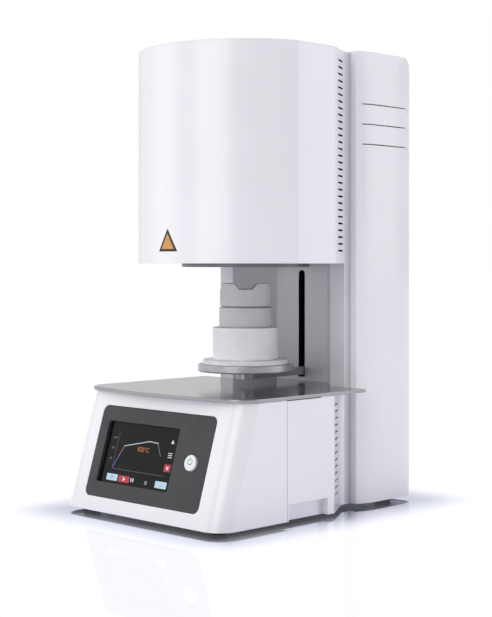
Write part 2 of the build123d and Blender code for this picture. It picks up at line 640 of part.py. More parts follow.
def tower_outline():
    """Right-hand half of the tower's plan, front to rear, before its rear corners are rounded."""
    return [(COLUMN_HALF_WIDTH, TOWER_FRONT_Y), (TOWER_FRONT_HALF, TOWER_FRONT_Y),
            (TOWER_HALF_WIDTH, TOWER_SIDE_START_Y), (TOWER_HALF_WIDTH, TOWER_SIDE_END_Y),
            (TOWER_HALF_WIDTH - TOWER_FACET_X, TOWER_SIDE_END_Y + TOWER_FACET_Y),
            (TOWER_HALF_WIDTH - TOWER_FACET_X - 3.0, REAR_Y)]


def tower_form(inset, z0):
    """The tower's outer form, or its inner form when inset."""
    face = make_face(Polyline(*mirrored(tower_outline()), close=True))
    face = fillet(face.vertices().sort_by(Axis.Y)[-2:], TOWER_CORNER_R)
    if inset:
        face = offset(face, -inset, kind=Kind.INTERSECTION)
    body = Pos(0, 0, z0) * extrude(face, TOWER_TOP - inset - z0)
    top, rear = TOWER_TOP - inset, REAR_Y - inset
    radius = TOWER_TOP_R - inset
    mask = block(-300, 300, -50, rear, z0, top)
    rear_edge = mask.edges().filter_by(Axis.X).sort_by(lambda e: e.center().Y + e.center().Z)[-1]
    return body & fillet(rear_edge, radius)


def make_tower_shell():
    shell = tower_form(0, BASE_Z) - tower_form(COVER_WALL, BASE_Z - 10)
    shell -= block(-COLUMN_HALF_WIDTH, COLUMN_HALF_WIDTH, 0, TOWER_FRONT_Y + COVER_WALL + 1,
                   0, TOWER_TOP - COVER_WALL)
    shell -= block(-REAR_OPENING_HALF, REAR_OPENING_HALF, REAR_INNER_Y - 5, REAR_Y + 5,
                   REAR_OPENING_LOW, REAR_OPENING_HIGH)
    outer = make_face(Polyline(*mirrored(tower_outline()), close=True))
    floor = offset(outer, -GROOVE_DEPTH, kind=Kind.INTERSECTION)
    band = extrude(offset(outer, 2, kind=Kind.INTERSECTION) - floor, GROOVE_HEIGHT + GROOVE_TAIL)
    for i in range(GROOVE_COUNT):
        high = GROOVE_TOP_Z - i * GROOVE_PITCH
        low = high - GROOVE_HEIGHT
        for side in (-1, 1):
            x0, x1 = sorted((side * 120, side * 200))
            run = block(x0, x1, GROOVE_START_Y, GROOVE_END_Y, low, high)
            tail = block(x0, x1, GROOVE_END_Y - GROOVE_HEIGHT, GROOVE_END_Y, low - GROOVE_TAIL, high)
            shell -= (Pos(0, 0, low - GROOVE_TAIL) * band) & (run + tail)
    return shell


def make_tower_floor():
    rear = REAR_INNER_Y - 8
    floor = Pos(0, 0, BASE_Z) * extrude(column_faces()[1], SHEET)
    floor -= block(-300, 300, rear, REAR_Y, 0, PAN_FLOOR + 1)
    front = PILLAR_FRONT_Y + COLUMN_RETURN + SEAM_GAP
    wing = block(COLUMN_HALF_WIDTH - 10, 300, front, rear, BASE_Z, PAN_FLOOR)
    wings = tower_form(COVER_WALL, BASE_Z) & (wing + mirror(wing, about=Plane.YZ))
    return floor + wings


def fan_slots():
    """Curved air slots in the rear panel, in front of the fan."""
    cut = None
    for r0, r1 in ((18, 24), (27, 33), (36, 42)):
        tube = Pos(0, REAR_PANEL_IN, FAN_Z) * Rot(90, 0, 0) * (Cylinder(r1, 20) - Cylinder(r0, 21))
        cut = tube if cut is None else cut + tube
    for turn in (45, 135):
        bar = Pos(0, REAR_PANEL_IN, FAN_Z) * Rot(0, turn, 0) * Box(100, 22, 5)
        cut -= bar
    return cut


def make_rear_panel():
    lap = REAR_PANEL_LAP
    panel = block(-REAR_OPENING_HALF - lap, REAR_OPENING_HALF + lap, REAR_PANEL_IN, REAR_PANEL_OUT,
                  REAR_OPENING_LOW - lap, REAR_OPENING_HIGH + lap)
    panel -= fan_slots()
    for x, half_x, half_z in ((INLET_X, INLET_HALF_X, INLET_HALF_Z), (SWITCH_X, SWITCH_HALF_X, SWITCH_HALF_Z)):
        panel -= block(x - half_x, x + half_x, REAR_PANEL_IN - 5, REAR_PANEL_OUT + 5,
                       SOCKET_Z - half_z, SOCKET_Z + half_z)
    return panel


def make_rear_screws():
    heads = []
    for z in (REAR_OPENING_LOW + 16, (REAR_OPENING_LOW + REAR_OPENING_HIGH) / 2, REAR_OPENING_HIGH - 16):
        for side in (-1, 1):
            at = Pos(side * (REAR_OPENING_HALF - 10), REAR_PANEL_OUT, z) * Rot(90, 0, 0)
            head = at * Pos(0, 0, -SCREW_HEAD_T / 2) * Cylinder(SCREW_HEAD_R, SCREW_HEAD_T)
            heads.append(head)
    return group(*heads)


def make_fan_frame():
    y1 = REAR_PANEL_IN
    frame = block(-FAN_HALF, FAN_HALF, y1 - FAN_DEPTH, y1, FAN_Z - FAN_HALF, FAN_Z + FAN_HALF)
    frame -= Pos(0, y1, FAN_Z) * Rot(90, 0, 0) * Cylinder(FAN_BORE_R, 4 * FAN_DEPTH)
    frame += Pos(0, y1 - FAN_DEPTH + 1.5, FAN_Z) * Rot(90, 0, 0) * Cylinder(FAN_HUB_R, 3)
    for turn in (45, 135):
        frame += Pos(0, y1 - FAN_DEPTH + 1.5, FAN_Z) * Rot(0, turn, 0) * Box(2 * FAN_BORE_R + 2, 3, 4)
    axle = Pos(0, y1 - FAN_DEPTH + 8, FAN_Z) * Rot(90, 0, 0) * Cylinder(2.0, 12)
    return frame + axle


def make_fan_rotor():
    y1 = REAR_PANEL_IN
    y0 = y1 - FAN_DEPTH
    hub = Pos(0, (y0 + 4 + y1 - 3) / 2, FAN_Z) * Rot(90, 0, 0) * Cylinder(FAN_HUB_R, FAN_DEPTH - 7)
    hub -= Pos(0, y0 + 4 + 5.5, FAN_Z) * Rot(90, 0, 0) * Cylinder(2.0 + RUNNING_GAP, 12)
    for i in range(FAN_BLADES):
        reach = FAN_BORE_R - 1.5
        blade = Pos((FAN_HUB_R - 1 + reach) / 2, 0, 0) * Rot(35, 0, 0) * Box(reach - FAN_HUB_R + 1, 1.6, 19)
        hub += Pos(0, (y0 + y1) / 2, FAN_Z) * Rot(0, i * 360 / FAN_BLADES, 0) * blade
    return hub


def make_inlet():
    flange = block(INLET_X - 20, INLET_X + 20, REAR_PANEL_OUT, REAR_Y - 0.5, SOCKET_Z - 13, SOCKET_Z + 13)
    body = block(INLET_X - INLET_HALF_X, INLET_X + INLET_HALF_X, REAR_PANEL_IN - 18, REAR_PANEL_OUT,
                 SOCKET_Z - INLET_HALF_Z, SOCKET_Z + INLET_HALF_Z)
    well = block(INLET_X - 11.5, INLET_X + 11.5, REAR_PANEL_IN - 14, REAR_Y + 5, SOCKET_Z - 8, SOCKET_Z + 8)
    shape = flange + body - well
    for x in (-7, 0, 7):
        shape += block(INLET_X + x - 1, INLET_X + x + 1, REAR_PANEL_IN - 14, REAR_PANEL_OUT - 3,
                       SOCKET_Z - 2, SOCKET_Z + 2)
    return shape


def make_switch_frame():
    flange = block(SWITCH_X - 13, SWITCH_X + 13, REAR_PANEL_OUT, REAR_Y - 0.5, SOCKET_Z - 17, SOCKET_Z + 17)
    body = block(SWITCH_X - SWITCH_HALF_X, SWITCH_X + SWITCH_HALF_X, REAR_PANEL_IN - 20, REAR_PANEL_OUT,
                 SOCKET_Z - SWITCH_HALF_Z, SOCKET_Z + SWITCH_HALF_Z)
    well = block(SWITCH_X - ROCKER_HALF_X - FREE_GAP, SWITCH_X + ROCKER_HALF_X + FREE_GAP,
                 REAR_PANEL_IN - 17, REAR_Y + 5, SOCKET_Z - ROCKER_HALF_Z - 1.6, SOCKET_Z + ROCKER_HALF_Z + 1.6)
    return flange + body - well + Pos(SWITCH_X, ROCKER_Y, SOCKET_Z) * Rot(0, 90, 0) * Cylinder(1.5, 2 * ROCKER_HALF_X + 2)


def make_rocker():
    rocker = Box(2 * ROCKER_HALF_X, 14, 2 * ROCKER_HALF_Z, align=(Align.CENTER, Align.CENTER, Align.CENTER))
    rocker = Pos(0, 0, 0) * rocker
    rocker = fillet(rocker.edges().filter_by(Axis.X), 1.5)
    rocker -= Rot(0, 90, 0) * Cylinder(1.5 + RUNNING_GAP, 3 * ROCKER_HALF_X)
    return Pos(SWITCH_X, ROCKER_Y, SOCKET_Z) * Rot(-ROCKER_TILT, 0, 0) * rocker


# --- head ---------------------------------------------------------------------------------------------------


def head_face():
    """The head's plan: an arc round the lift axis, flat sides, rear chamfers down to the column."""
    crease_y = -math.sqrt(HEAD_R ** 2 - HEAD_HALF_WIDTH ** 2)
    arc = ThreePointArc((-HEAD_HALF_WIDTH, crease_y), (0, -HEAD_R), (HEAD_HALF_WIDTH, crease_y))
    rest = Polyline((HEAD_HALF_WIDTH, crease_y), (HEAD_HALF_WIDTH, HEAD_SIDE_END_Y),
                    (COLUMN_HALF_WIDTH, PILLAR_FRONT_Y), (-COLUMN_HALF_WIDTH, PILLAR_FRONT_Y),
                    (-HEAD_HALF_WIDTH, HEAD_SIDE_END_Y), (-HEAD_HALF_WIDTH, crease_y))
    face = make_face(arc + rest)
    bends = face.vertices().filter_by(lambda v: abs(v.Y - HEAD_SIDE_END_Y) < 0.1)
    return fillet(bends, HEAD_EDGE_R)


def make_head_casing():
    face = head_face()
    wall = face - offset(face, -CASING_WALL, kind=Kind.INTERSECTION)
    casing = Pos(0, 0, HEAD_BOTTOM) * extrude(wall, HEAD_TOP - HEAD_COVER - HEAD_BOTTOM)
    opening = COLUMN_HALF_WIDTH - CASING_FLANGE
    casing -= block(-opening, opening, PILLAR_FRONT_Y - 10, PILLAR_FRONT_Y + 10, 0, HEAD_TOP + 10)
    for z in vent_heights(HEAD_BOTTOM + HEAD_VENT_LOW, HEAD_TOP - HEAD_COVER, HEAD_VENT_MARGIN):
        cutter = vent_cutter((HEAD_HALF_WIDTH, HEAD_SIDE_END_Y), (COLUMN_HALF_WIDTH, PILLAR_FRONT_Y),
                             HEAD_VENT_ALONG, z)
        casing = casing - cutter - mirror(cutter, about=Plane.YZ)
    return casing


def make_head_cover():
    bridge = make_face(Polyline(*mirrored([(COLUMN_HALF_WIDTH, PILLAR_FRONT_Y), (COLUMN_HALF_WIDTH, TOWER_FRONT_Y)]),
                                close=True))
    return Pos(0, 0, HEAD_TOP - HEAD_COVER) * extrude(head_face() + bridge, HEAD_COVER)


def make_head_floor():
    inner = offset(head_face(), -CASING_WALL, kind=Kind.INTERSECTION)
    return Pos(0, 0, HEAD_BOTTOM) * extrude(inner, HEAD_FLOOR) - disc(THROAT_R, HEAD_BOTTOM - 5, HEAD_FLOOR_TOP + 5)


def make_throat_flange():
    shape = ring(FLANGE_R, THROAT_R, HEAD_BOTTOM - FLANGE_THICKNESS, HEAD_BOTTOM)
    return chamfer(shape.edges().filter_by(GeomType.CIRCLE).group_by(Axis.Z)[0].sort_by(SortBy.RADIUS)[-1], 1.0)


def make_lower_insulation():
    return ring(INSULATION_R, THROAT_BORE_R, HEAD_FLOOR_TOP, CHAMBER_LOW)


def make_middle_insulation():
    return ring(INSULATION_R, CHAMBER_R, CHAMBER_LOW, CHAMBER_TOP)


def element_places():
    """Turn of each hairpin about the lift axis, degrees."""
    return [45.0 + i * 360.0 / ELEMENT_COUNT for i in range(ELEMENT_COUNT)]


def leg_holes(radius, z0, z1):
    """Cylinders on every hairpin leg."""
    legs = []
    for turn in element_places():
        for side in (-1, 1):
            legs.append(Rot(0, 0, turn) * disc(radius, z0, z1, side * ELEMENT_BEND_R, -ELEMENT_CIRCLE_R))
    return legs


def make_roof_insulation():
    roof = disc(INSULATION_R, CHAMBER_TOP, ROOF_TOP)
    for hole in leg_holes(ELEMENT_LEG_R + ELEMENT_HOLE_GAP, CHAMBER_TOP - 1, ROOF_TOP + 1):
        roof -= hole
    return roof - disc(PROBE_R + ELEMENT_HOLE_GAP, CHAMBER_TOP - 1, ROOF_TOP + 1)


def make_insulation_can():
    return ring(INSULATION_R + CAN_WALL, INSULATION_R, HEAD_FLOOR_TOP, ROOF_TOP)


def make_elements():
    low = CHAMBER_LOW + ELEMENT_LOW_GAP + ELEMENT_BEND_R
    high = ROOF_TOP + ELEMENT_TOP_H
    pins = []
    for turn in element_places():
        path = Line((-ELEMENT_BEND_R, -ELEMENT_CIRCLE_R, high), (-ELEMENT_BEND_R, -ELEMENT_CIRCLE_R, low))
        path += ThreePointArc((-ELEMENT_BEND_R, -ELEMENT_CIRCLE_R, low),
                              (0, -ELEMENT_CIRCLE_R, low - ELEMENT_BEND_R),
                              (ELEMENT_BEND_R, -ELEMENT_CIRCLE_R, low))
        path += Line((ELEMENT_BEND_R, -ELEMENT_CIRCLE_R, low), (ELEMENT_BEND_R, -ELEMENT_CIRCLE_R, high))
        section = Plane(origin=(-ELEMENT_BEND_R, -ELEMENT_CIRCLE_R, high), z_dir=(0, 0, -1)) * Circle(ELEMENT_LEG_R)
        pins.append(Rot(0, 0, turn) * sweep(section, path=path))
    return group(*pins)


def make_clamps():
    clamps = []
    for turn in element_places():
        clamp = block(-ELEMENT_BEND_R - 8, ELEMENT_BEND_R + 8, -ELEMENT_CIRCLE_R - 8, -ELEMENT_CIRCLE_R + 8,
                      ROOF_TOP, ROOF_TOP + CLAMP_H)
        for side in (-1, 1):
            clamp -= disc(ELEMENT_LEG_R, ROOF_TOP - 1, ROOF_TOP + CLAMP_H + 1, side * ELEMENT_BEND_R, -ELEMENT_CIRCLE_R)
        clamps.append(Rot(0, 0, turn) * clamp)
    return group(*clamps)


def make_thermocouple():
    probe = disc(PROBE_R, CHAMBER_TOP - 5, ROOF_TOP)
    return probe + disc(12, ROOF_TOP, ROOF_TOP + 16) + disc(5, ROOF_TOP + 16, ROOF_TOP + 26)


# --- lift table and ware ------------------------------------------------------------------------------------------


def make_table_disc():
    shape = disc(DISC_R, DISC_BOTTOM, PLATE_Z)
    rims = shape.edges().filter_by(GeomType.CIRCLE).sort_by(Axis.Z)
    shape = chamfer(rims[0], 2.0)
    return chamfer(shape.edges().filter_by(GeomType.CIRCLE).sort_by(Axis.Z)[-1], 1.0)


def make_boss():
    return disc(BOSS_R, DISC_BOTTOM - ARM_HEIGHT, DISC_BOTTOM)


def make_arm():
    bar = block(-ARM_WIDTH / 2, ARM_WIDTH / 2, 0, SCREW_Y - CARRIAGE_HALF_Y, DISC_BOTTOM - ARM_HEIGHT, DISC_BOTTOM)
    return bar - disc(BOSS_R, DISC_BOTTOM - ARM_HEIGHT - 1, DISC_BOTTOM + 1)


def make_crucible():
    outer = disc(CRUCIBLE_R, CRUCIBLE_Z + CRUCIBLE_FOOT_H, CRUCIBLE_TOP)
    foot = Pos(0, 0, CRUCIBLE_Z) * Cone(CRUCIBLE_FOOT_R, CRUCIBLE_R, CRUCIBLE_FOOT_H,
                                        align=(Align.CENTER, Align.CENTER, Align.MIN))
    shape = outer + foot - disc(CRUCIBLE_R - CRUCIBLE_WALL, CRUCIBLE_Z + CRUCIBLE_FLOOR, CRUCIBLE_TOP + 5)
    low = CRUCIBLE_TOP - NOTCH_DROP
    rise = (NOTCH_WIDE - NOTCH_LOW) / 2
    extra = rise / NOTCH_DROP * 5
    points = [(-NOTCH_LOW / 2, low), (NOTCH_LOW / 2, low),
              (NOTCH_WIDE / 2 + extra, CRUCIBLE_TOP + 5), (-NOTCH_WIDE / 2 - extra, CRUCIBLE_TOP + 5)]
    for turn in (0, 90):
        cutter = extrude(Plane.XZ * make_face(Polyline(*points, close=True)), 2 * CRUCIBLE_R, both=True)
        shape -= Rot(0, 0, NOTCH_TURN + turn) * cutter
    return shape


def plinth(radius, z0, z1):
    """A ceramic block with slightly broken edges."""
    return chamfer(disc(radius, z0, z1).edges().filter_by(GeomType.CIRCLE), 0.8)


# --- lift drive ------------------------------------------------------------------------------------------------------


def make_carriage():
    y0, y1 = SCREW_Y - CARRIAGE_HALF_Y, SCREW_Y + CARRIAGE_HALF_Y
    shape = block(-CARRIAGE_HALF_X, CARRIAGE_HALF_X, y0, y1, CARRIAGE_LOW, CARRIAGE_TOP)
    for x in (-ROD_X, 0, ROD_X):
        shape -= disc(BEARING_R, CARRIAGE_LOW - 1, CARRIAGE_TOP + 1, x, SCREW_Y)
    return chamfer(shape.edges().filter_by(Axis.Z).filter_by(lambda e: abs(e.center().X) > CARRIAGE_HALF_X - 1), 3)


def make_linear_bearings():
    middle = (CARRIAGE_LOW + CARRIAGE_TOP) / 2
    return both_sides(ring(BEARING_R, ROD_R + RUNNING_GAP, middle - BEARING_L / 2, middle + BEARING_L / 2, ROD_X, SCREW_Y))


def make_lead_nut():
    body = disc(BEARING_R, CARRIAGE_LOW, CARRIAGE_LOW + 24, 0, SCREW_Y)
    flange = disc(NUT_FLANGE_R, CARRIAGE_LOW - NUT_FLANGE_T, CARRIAGE_LOW, 0, SCREW_Y)
    flange &= block(-60, 60, SCREW_Y - CARRIAGE_HALF_Y, SCREW_Y + CARRIAGE_HALF_Y, 0, CARRIAGE_LOW + 1)
    return body + flange - disc(SCREW_R + RUNNING_GAP, 0, CARRIAGE_TOP, 0, SCREW_Y)


def bracket(z0):
    """A plate off the mast that holds the rod ends and one screw bearing."""
    shape = block(-BRACKET_HALF_X, BRACKET_HALF_X, SCREW_Y - CARRIAGE_HALF_Y, MAST_Y, z0, z0 + BRACKET_T)
    shape -= disc(BEARING_R, z0 - 1, z0 + BRACKET_T + 1, 0, SCREW_Y)
    for x in (-ROD_X, ROD_X):
        shape -= disc(ROD_R, z0 - 1, z0 + BRACKET_T + 1, x, SCREW_Y)
    return shape


def make_screw_bearings():
    return group(*[ring(BEARING_R, SCREW_R + RUNNING_GAP, z, z + BRACKET_T, 0, SCREW_Y)
                   for z in (LOWER_BRACKET_Z, UPPER_BRACKET_Z)])


def make_motor_plate():
    shape = block(-MOTOR_HALF - 8, MOTOR_HALF + 8, SCREW_Y - MOTOR_HALF, MAST_Y, MOTOR_TOP, MOTOR_TOP + 5)
    return shape - disc(MOTOR_SHAFT_R + 3, 0, MOTOR_TOP + 10, 0, SCREW_Y)


def make_motor():
    half = min(MOTOR_HALF, MAST_Y - SCREW_Y)
    body = block(-MOTOR_HALF, MOTOR_HALF, SCREW_Y - MOTOR_HALF, SCREW_Y + half, MOTOR_TOP - MOTOR_H, MOTOR_TOP)
    body = chamfer(body.edges().filter_by(Axis.Z), 3)
    return body - disc(MOTOR_SHAFT_R + 1, MOTOR_TOP - 6, MOTOR_TOP + 1, 0, SCREW_Y)


def make_motor_shaft():
    return disc(MOTOR_SHAFT_R, MOTOR_TOP - 5, MOTOR_TOP + 8 + COUPLING_L / 2 - 1, 0, SCREW_Y)


def make_coupling():
    z0 = MOTOR_TOP + 8
    shape = disc(COUPLING_R, z0, z0 + COUPLING_L, 0, SCREW_Y)
    shape -= disc(MOTOR_SHAFT_R, z0 - 1, z0 + COUPLING_L / 2, 0, SCREW_Y)
    return shape - disc(SCREW_R, z0 + COUPLING_L / 2, z0 + COUPLING_L + 1, 0, SCREW_Y)


def make_lead_screw():
    low = MOTOR_TOP + 8 + COUPLING_L / 2
    screw = disc(SCREW_R, low, UPPER_BRACKET_Z + BRACKET_T + 4, 0, SCREW_Y)
    return chamfer(screw.edges().filter_by(GeomType.CIRCLE), 0.8)


def make_guide_rods():
    return both_sides(disc(ROD_R, LOWER_BRACKET_Z, UPPER_BRACKET_Z + BRACKET_T, ROD_X, SCREW_Y))


def make_mast():
    high = UPPER_BRACKET_Z + BRACKET_T + MAST_ABOVE
    plate = block(-MAST_HALF_X, MAST_HALF_X, MAST_Y, MAST_Y + MAST_T, PAN_FLOOR, high)
    foot = block(-MAST_HALF_X, MAST_HALF_X, MAST_Y, MAST_Y + 25, PAN_FLOOR, PAN_FLOOR + MAST_T)
    return plate + foot


# --- write every node ----------------------------------------------------------------------------------------------------

save(make_front_cover(), "front_cover")
right_panel = make_side_panel()
save(right_panel, "side_panel_right")
save(mirror(right_panel, about=Plane.YZ), "side_panel_left")
save(make_deck_plate(), "deck_plate")
save(make_base_pan(), "base_pan")
save(make_cover_brackets(), "cover_brackets")
save(make_feet(), "feet")
save(make_bezel(), "control_bezel")
save(make_glass(), "touch_screen_glass")
save(make_display(), "display_module")
save(make_board_spacers(), "board_spacers")
save(make_board(), "controller_board")
save(make_button_cap(), "power_button_cap")
save(make_button_barrel(), "power_button_barrel")
save(make_transformer_core(), "transformer_core")
save(make_transformer_coil(), "transformer_coil")
save(make_heat_sink(), "power_heat_sink")
save(make_power_module(), "power_module")
save(make_column_pillars(), "column_pillars")
save(make_recess_plate(), "recess_plate")
save(make_tower_shell(), "tower_shell")
save(make_tower_floor(), "tower_floor")
save(make_rear_panel(), "rear_panel")
save(make_rear_screws(), "rear_panel_screws")
save(make_fan_frame(), "fan_frame")
save(make_fan_rotor(), "fan_rotor")
save(make_inlet(), "mains_inlet")
save(make_switch_frame(), "main_switch_frame")
save(make_rocker(), "main_switch_rocker")
save(make_head_casing(), "head_casing")
save(make_head_cover(), "head_top_cover")
save(make_head_floor(), "head_floor")
save(make_throat_flange(), "throat_flange")
save(make_lower_insulation(), "insulation_lower")
save(make_middle_insulation(), "insulation_middle")
save(make_roof_insulation(), "insulation_roof")
save(make_insulation_can(), "insulation_can")
save(make_elements(), "heating_elements")
save(make_clamps(), "element_clamps")
save(make_thermocouple(), "thermocouple")
save(make_table_disc(), "table_disc")
save(make_boss(), "table_boss")
save(make_arm(), "lift_arm")
save(plinth(BASE_PLATE_R, PLATE_Z, LOWER_PLINTH_Z), "ceramic_base_plate")
save(plinth(LOWER_PLINTH_R, LOWER_PLINTH_Z, UPPER_PLINTH_Z), "plinth_lower")
save(plinth(UPPER_PLINTH_R, UPPER_PLINTH_Z, CRUCIBLE_Z), "plinth_upper")
save(make_crucible(), "crucible")
save(make_carriage(), "lift_carriage")
save(make_linear_bearings(), "linear_bearings")
save(make_lead_nut(), "lead_nut")
save(bracket(LOWER_BRACKET_Z), "screw_bracket_lower")
save(bracket(UPPER_BRACKET_Z), "screw_bracket_upper")
save(make_screw_bearings(), "screw_bearings")
save(make_motor_plate(), "motor_plate")
save(make_motor(), "lift_motor")
save(make_motor_shaft(), "motor_shaft")
save(make_coupling(), "shaft_coupling")
save(make_lead_screw(), "lead_screw")
save(make_guide_rods(), "guide_rods")
save(make_mast(), "mast_plate")
print(len(written), "nodes")
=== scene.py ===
"""Looks of a bench-top lift kiln: a white head and base on a tower, and a table that lifts the ware."""

import json
import math

import bpy
from mathutils import Matrix, Vector

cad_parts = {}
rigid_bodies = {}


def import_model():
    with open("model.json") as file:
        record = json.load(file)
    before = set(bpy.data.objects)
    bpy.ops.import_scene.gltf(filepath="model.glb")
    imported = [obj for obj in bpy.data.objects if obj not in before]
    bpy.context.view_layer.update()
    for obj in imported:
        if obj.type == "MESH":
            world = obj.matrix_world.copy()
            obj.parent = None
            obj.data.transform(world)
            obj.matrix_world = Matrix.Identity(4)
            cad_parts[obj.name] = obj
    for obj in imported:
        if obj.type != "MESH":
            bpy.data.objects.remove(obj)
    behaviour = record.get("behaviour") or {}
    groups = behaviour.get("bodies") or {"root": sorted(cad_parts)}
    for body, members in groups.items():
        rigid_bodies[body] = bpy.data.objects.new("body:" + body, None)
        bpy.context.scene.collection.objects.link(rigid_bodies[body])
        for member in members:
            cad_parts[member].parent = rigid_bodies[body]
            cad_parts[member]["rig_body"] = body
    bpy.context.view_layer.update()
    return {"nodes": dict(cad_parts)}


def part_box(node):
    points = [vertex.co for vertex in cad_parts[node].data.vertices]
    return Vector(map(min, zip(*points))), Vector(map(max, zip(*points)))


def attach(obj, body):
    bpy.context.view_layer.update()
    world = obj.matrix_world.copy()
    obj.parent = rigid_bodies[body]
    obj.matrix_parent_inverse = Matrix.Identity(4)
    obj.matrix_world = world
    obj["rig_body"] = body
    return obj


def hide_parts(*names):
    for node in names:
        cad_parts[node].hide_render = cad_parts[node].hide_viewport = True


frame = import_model()


# ---- Base pan and feet -------------------------------------------------------------------
# The pan is folded from 2 mm galvanised sheet and closes the base from below. Four turned
# rubber feet are pushed into it and carry the whole kiln.

def colour(red, green, blue):
    """A paint or metal colour read off a screen, as linear light."""
    def linear(level):
        share = level / 255
        return share / 12.92 if share <= 0.04045 else ((share + 0.055) / 1.055) ** 2.4
    return (linear(red), linear(green), linear(blue), 1.0)


def plain_material(name, base, roughness, metallic=0.0, coat=0.0):
    made = bpy.data.materials.new(name)
    made.use_nodes = True
    shader = made.node_tree.nodes["Principled BSDF"]
    shader.inputs["Base Color"].default_value = base
    shader.inputs["Roughness"].default_value = roughness
    shader.inputs["Metallic"].default_value = metallic
    shader.inputs["Coat Weight"].default_value = coat
    shader.inputs["Coat Roughness"].default_value = 0.12
    return made


def grain(material, per_metre, detail=3.0, stretch=(1, 1, 1), distortion=0.0):
    """Adds noise on object coordinates, finer along the axes with a larger stretch."""
    nodes, links = material.node_tree.nodes, material.node_tree.links
    place = nodes.new("ShaderNodeTexCoord")
    turn = nodes.new("ShaderNodeMapping")
    turn.inputs["Scale"].default_value = stretch
    noise = nodes.new("ShaderNodeTexNoise")
    noise.inputs["Scale"].default_value = per_metre
    noise.inputs["Detail"].default_value = detail
    noise.inputs["Distortion"].default_value = distortion
    links.new(place.outputs["Object"], turn.inputs["Vector"])
    links.new(turn.outputs["Vector"], noise.inputs["Vector"])
    return noise.outputs["Fac"]


def tinted(material, pattern, dark, light, low=0.3, high=0.7):
    """Runs the base colour from dark to light with a pattern."""
    nodes, links = material.node_tree.nodes, material.node_tree.links
    ramp = nodes.new("ShaderNodeValToRGB")
    ramp.color_ramp.elements[0].position, ramp.color_ramp.elements[1].position = low, high
    ramp.color_ramp.elements[0].color, ramp.color_ramp.elements[1].color = dark, light
    links.new(pattern, ramp.inputs["Fac"])
    links.new(ramp.outputs["Color"], nodes["Principled BSDF"].inputs["Base Color"])


def polished_between(material, pattern, smooth, rough):
    """Runs the roughness from smooth to rough with a pattern."""
    nodes, links = material.node_tree.nodes, material.node_tree.links
    span = nodes.new("ShaderNodeMapRange")
    span.inputs["From Min"].default_value, span.inputs["From Max"].default_value = 0.3, 0.7
    span.inputs["To Min"].default_value, span.inputs["To Max"].default_value = smooth, rough
    links.new(pattern, span.inputs["Value"])
    links.new(span.outputs["Result"], nodes["Principled BSDF"].inputs["Roughness"])


def embossed(material, pattern, height, strength=0.5):
    """Raises the surface by a pattern, with its height in metres."""
    nodes, links = material.node_tree.nodes, material.node_tree.links
    bump = nodes.new("ShaderNodeBump")
    bump.inputs["Strength"].default_value = strength
    bump.inputs["Distance"].default_value = height
    links.new(pattern, bump.inputs["Height"])
    links.new(bump.outputs["Normal"], nodes["Principled BSDF"].inputs["Normal"])


def coated(material, *nodes):
    """Gives CAD parts that stay as they are their material."""
    for node in nodes:
        part = frame["nodes"][node]
        part.data.materials.clear()
        part.data.materials.append(material)


def alone(piece):
    """Leaves one piece selected and active."""
    bpy.ops.object.select_all(action="DESELECT")
    piece.select_set(True)
    bpy.context.view_layer.objects.active = piece
    return piece


def shaped(piece, kind, **settings):
    """Adds one modifier and applies it."""
    alone(piece)
    modifier = piece.modifiers.new(kind.title(), kind)
    for name, value in settings.items():
        setattr(modifier, name, value)
    bpy.ops.object.modifier_apply(modifier=modifier.name)
    return piece


MERGE_WITHIN = 0.00001                    # loose CAD corners closer than this are one
FLAT_WITHIN = math.radians(0.3)           # triangles this close to one plane are one face


def finished(node, name, material, edge, sharp=28, steps=3):
    """Stands a joined-up copy of a part in its place, with its edges broken to a small radius."""
    piece = bpy.data.objects.new(name, frame["nodes"][node].data.copy())
    bpy.context.scene.collection.objects.link(piece)
    alone(piece)
    bpy.ops.mesh.customdata_custom_splitnormals_clear()
    bpy.ops.object.mode_set(mode="EDIT")
    bpy.ops.mesh.select_all(action="SELECT")
    bpy.ops.mesh.remove_doubles(threshold=MERGE_WITHIN)
    bpy.ops.mesh.dissolve_limited(angle_limit=FLAT_WITHIN)
    bpy.ops.object.mode_set(mode="OBJECT")
    bpy.ops.object.shade_smooth_by_angle(angle=math.radians(sharp))
    shaped(piece, "BEVEL", width=edge, segments=steps, limit_method="ANGLE",
           angle_limit=math.radians(sharp), harden_normals=True, use_clamp_overlap=True)
    piece.data.materials.clear()
    piece.data.materials.append(material)
    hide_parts(node)
    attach(piece, frame["nodes"][node]["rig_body"])
    return piece


galvanised = plain_material("galvanised_sheet", colour(150, 152, 155), 0.38, metallic=1.0)
tinted(galvanised, grain(galvanised, 55, detail=1.5, distortion=1.2),
       colour(132, 134, 138), colour(168, 170, 172), 0.42, 0.58)
polished_between(galvanised, grain(galvanised, 90), 0.3, 0.46)
coated(galvanised, "tower_floor", "head_floor", "insulation_can", "cover_brackets")
finished("base_pan", "base_pan_folded", galvanised, 0.0004)

rubber = plain_material("foot_rubber", colour(30, 30, 32), 0.75)
tinted(rubber, grain(rubber, 900), colour(22, 22, 24), colour(40, 40, 42))
embossed(rubber, grain(rubber, 2500), 0.0001)
finished("feet", "feet_moulded", rubber, 0.0015)


# ---- White body panels -------------------------------------------------------------------
# The sloping front cover and the two side panels are sheet steel, powder coated in a satin
# white with a very fine orange peel. They hook under the deck and screw to the pan.

def powder_coat(name, dark, light):
    made = plain_material(name, light, 0.3, coat=0.9)
    tinted(made, grain(made, 7, detail=2.0), dark, light, 0.25, 0.75)
    polished_between(made, grain(made, 60), 0.3, 0.4)
    embossed(made, grain(made, 1400, detail=1.0), 0.00002, strength=0.35)
    return made


shell_white = powder_coat("shell_white", colour(233, 233, 236), colour(238, 238, 241))
finished("front_cover", "front_cover_pressed", shell_white, 0.0009)
for side in ("right", "left"):
    finished(f"side_panel_{side}", f"side_panel_{side}_pressed", shell_white, 0.0006)


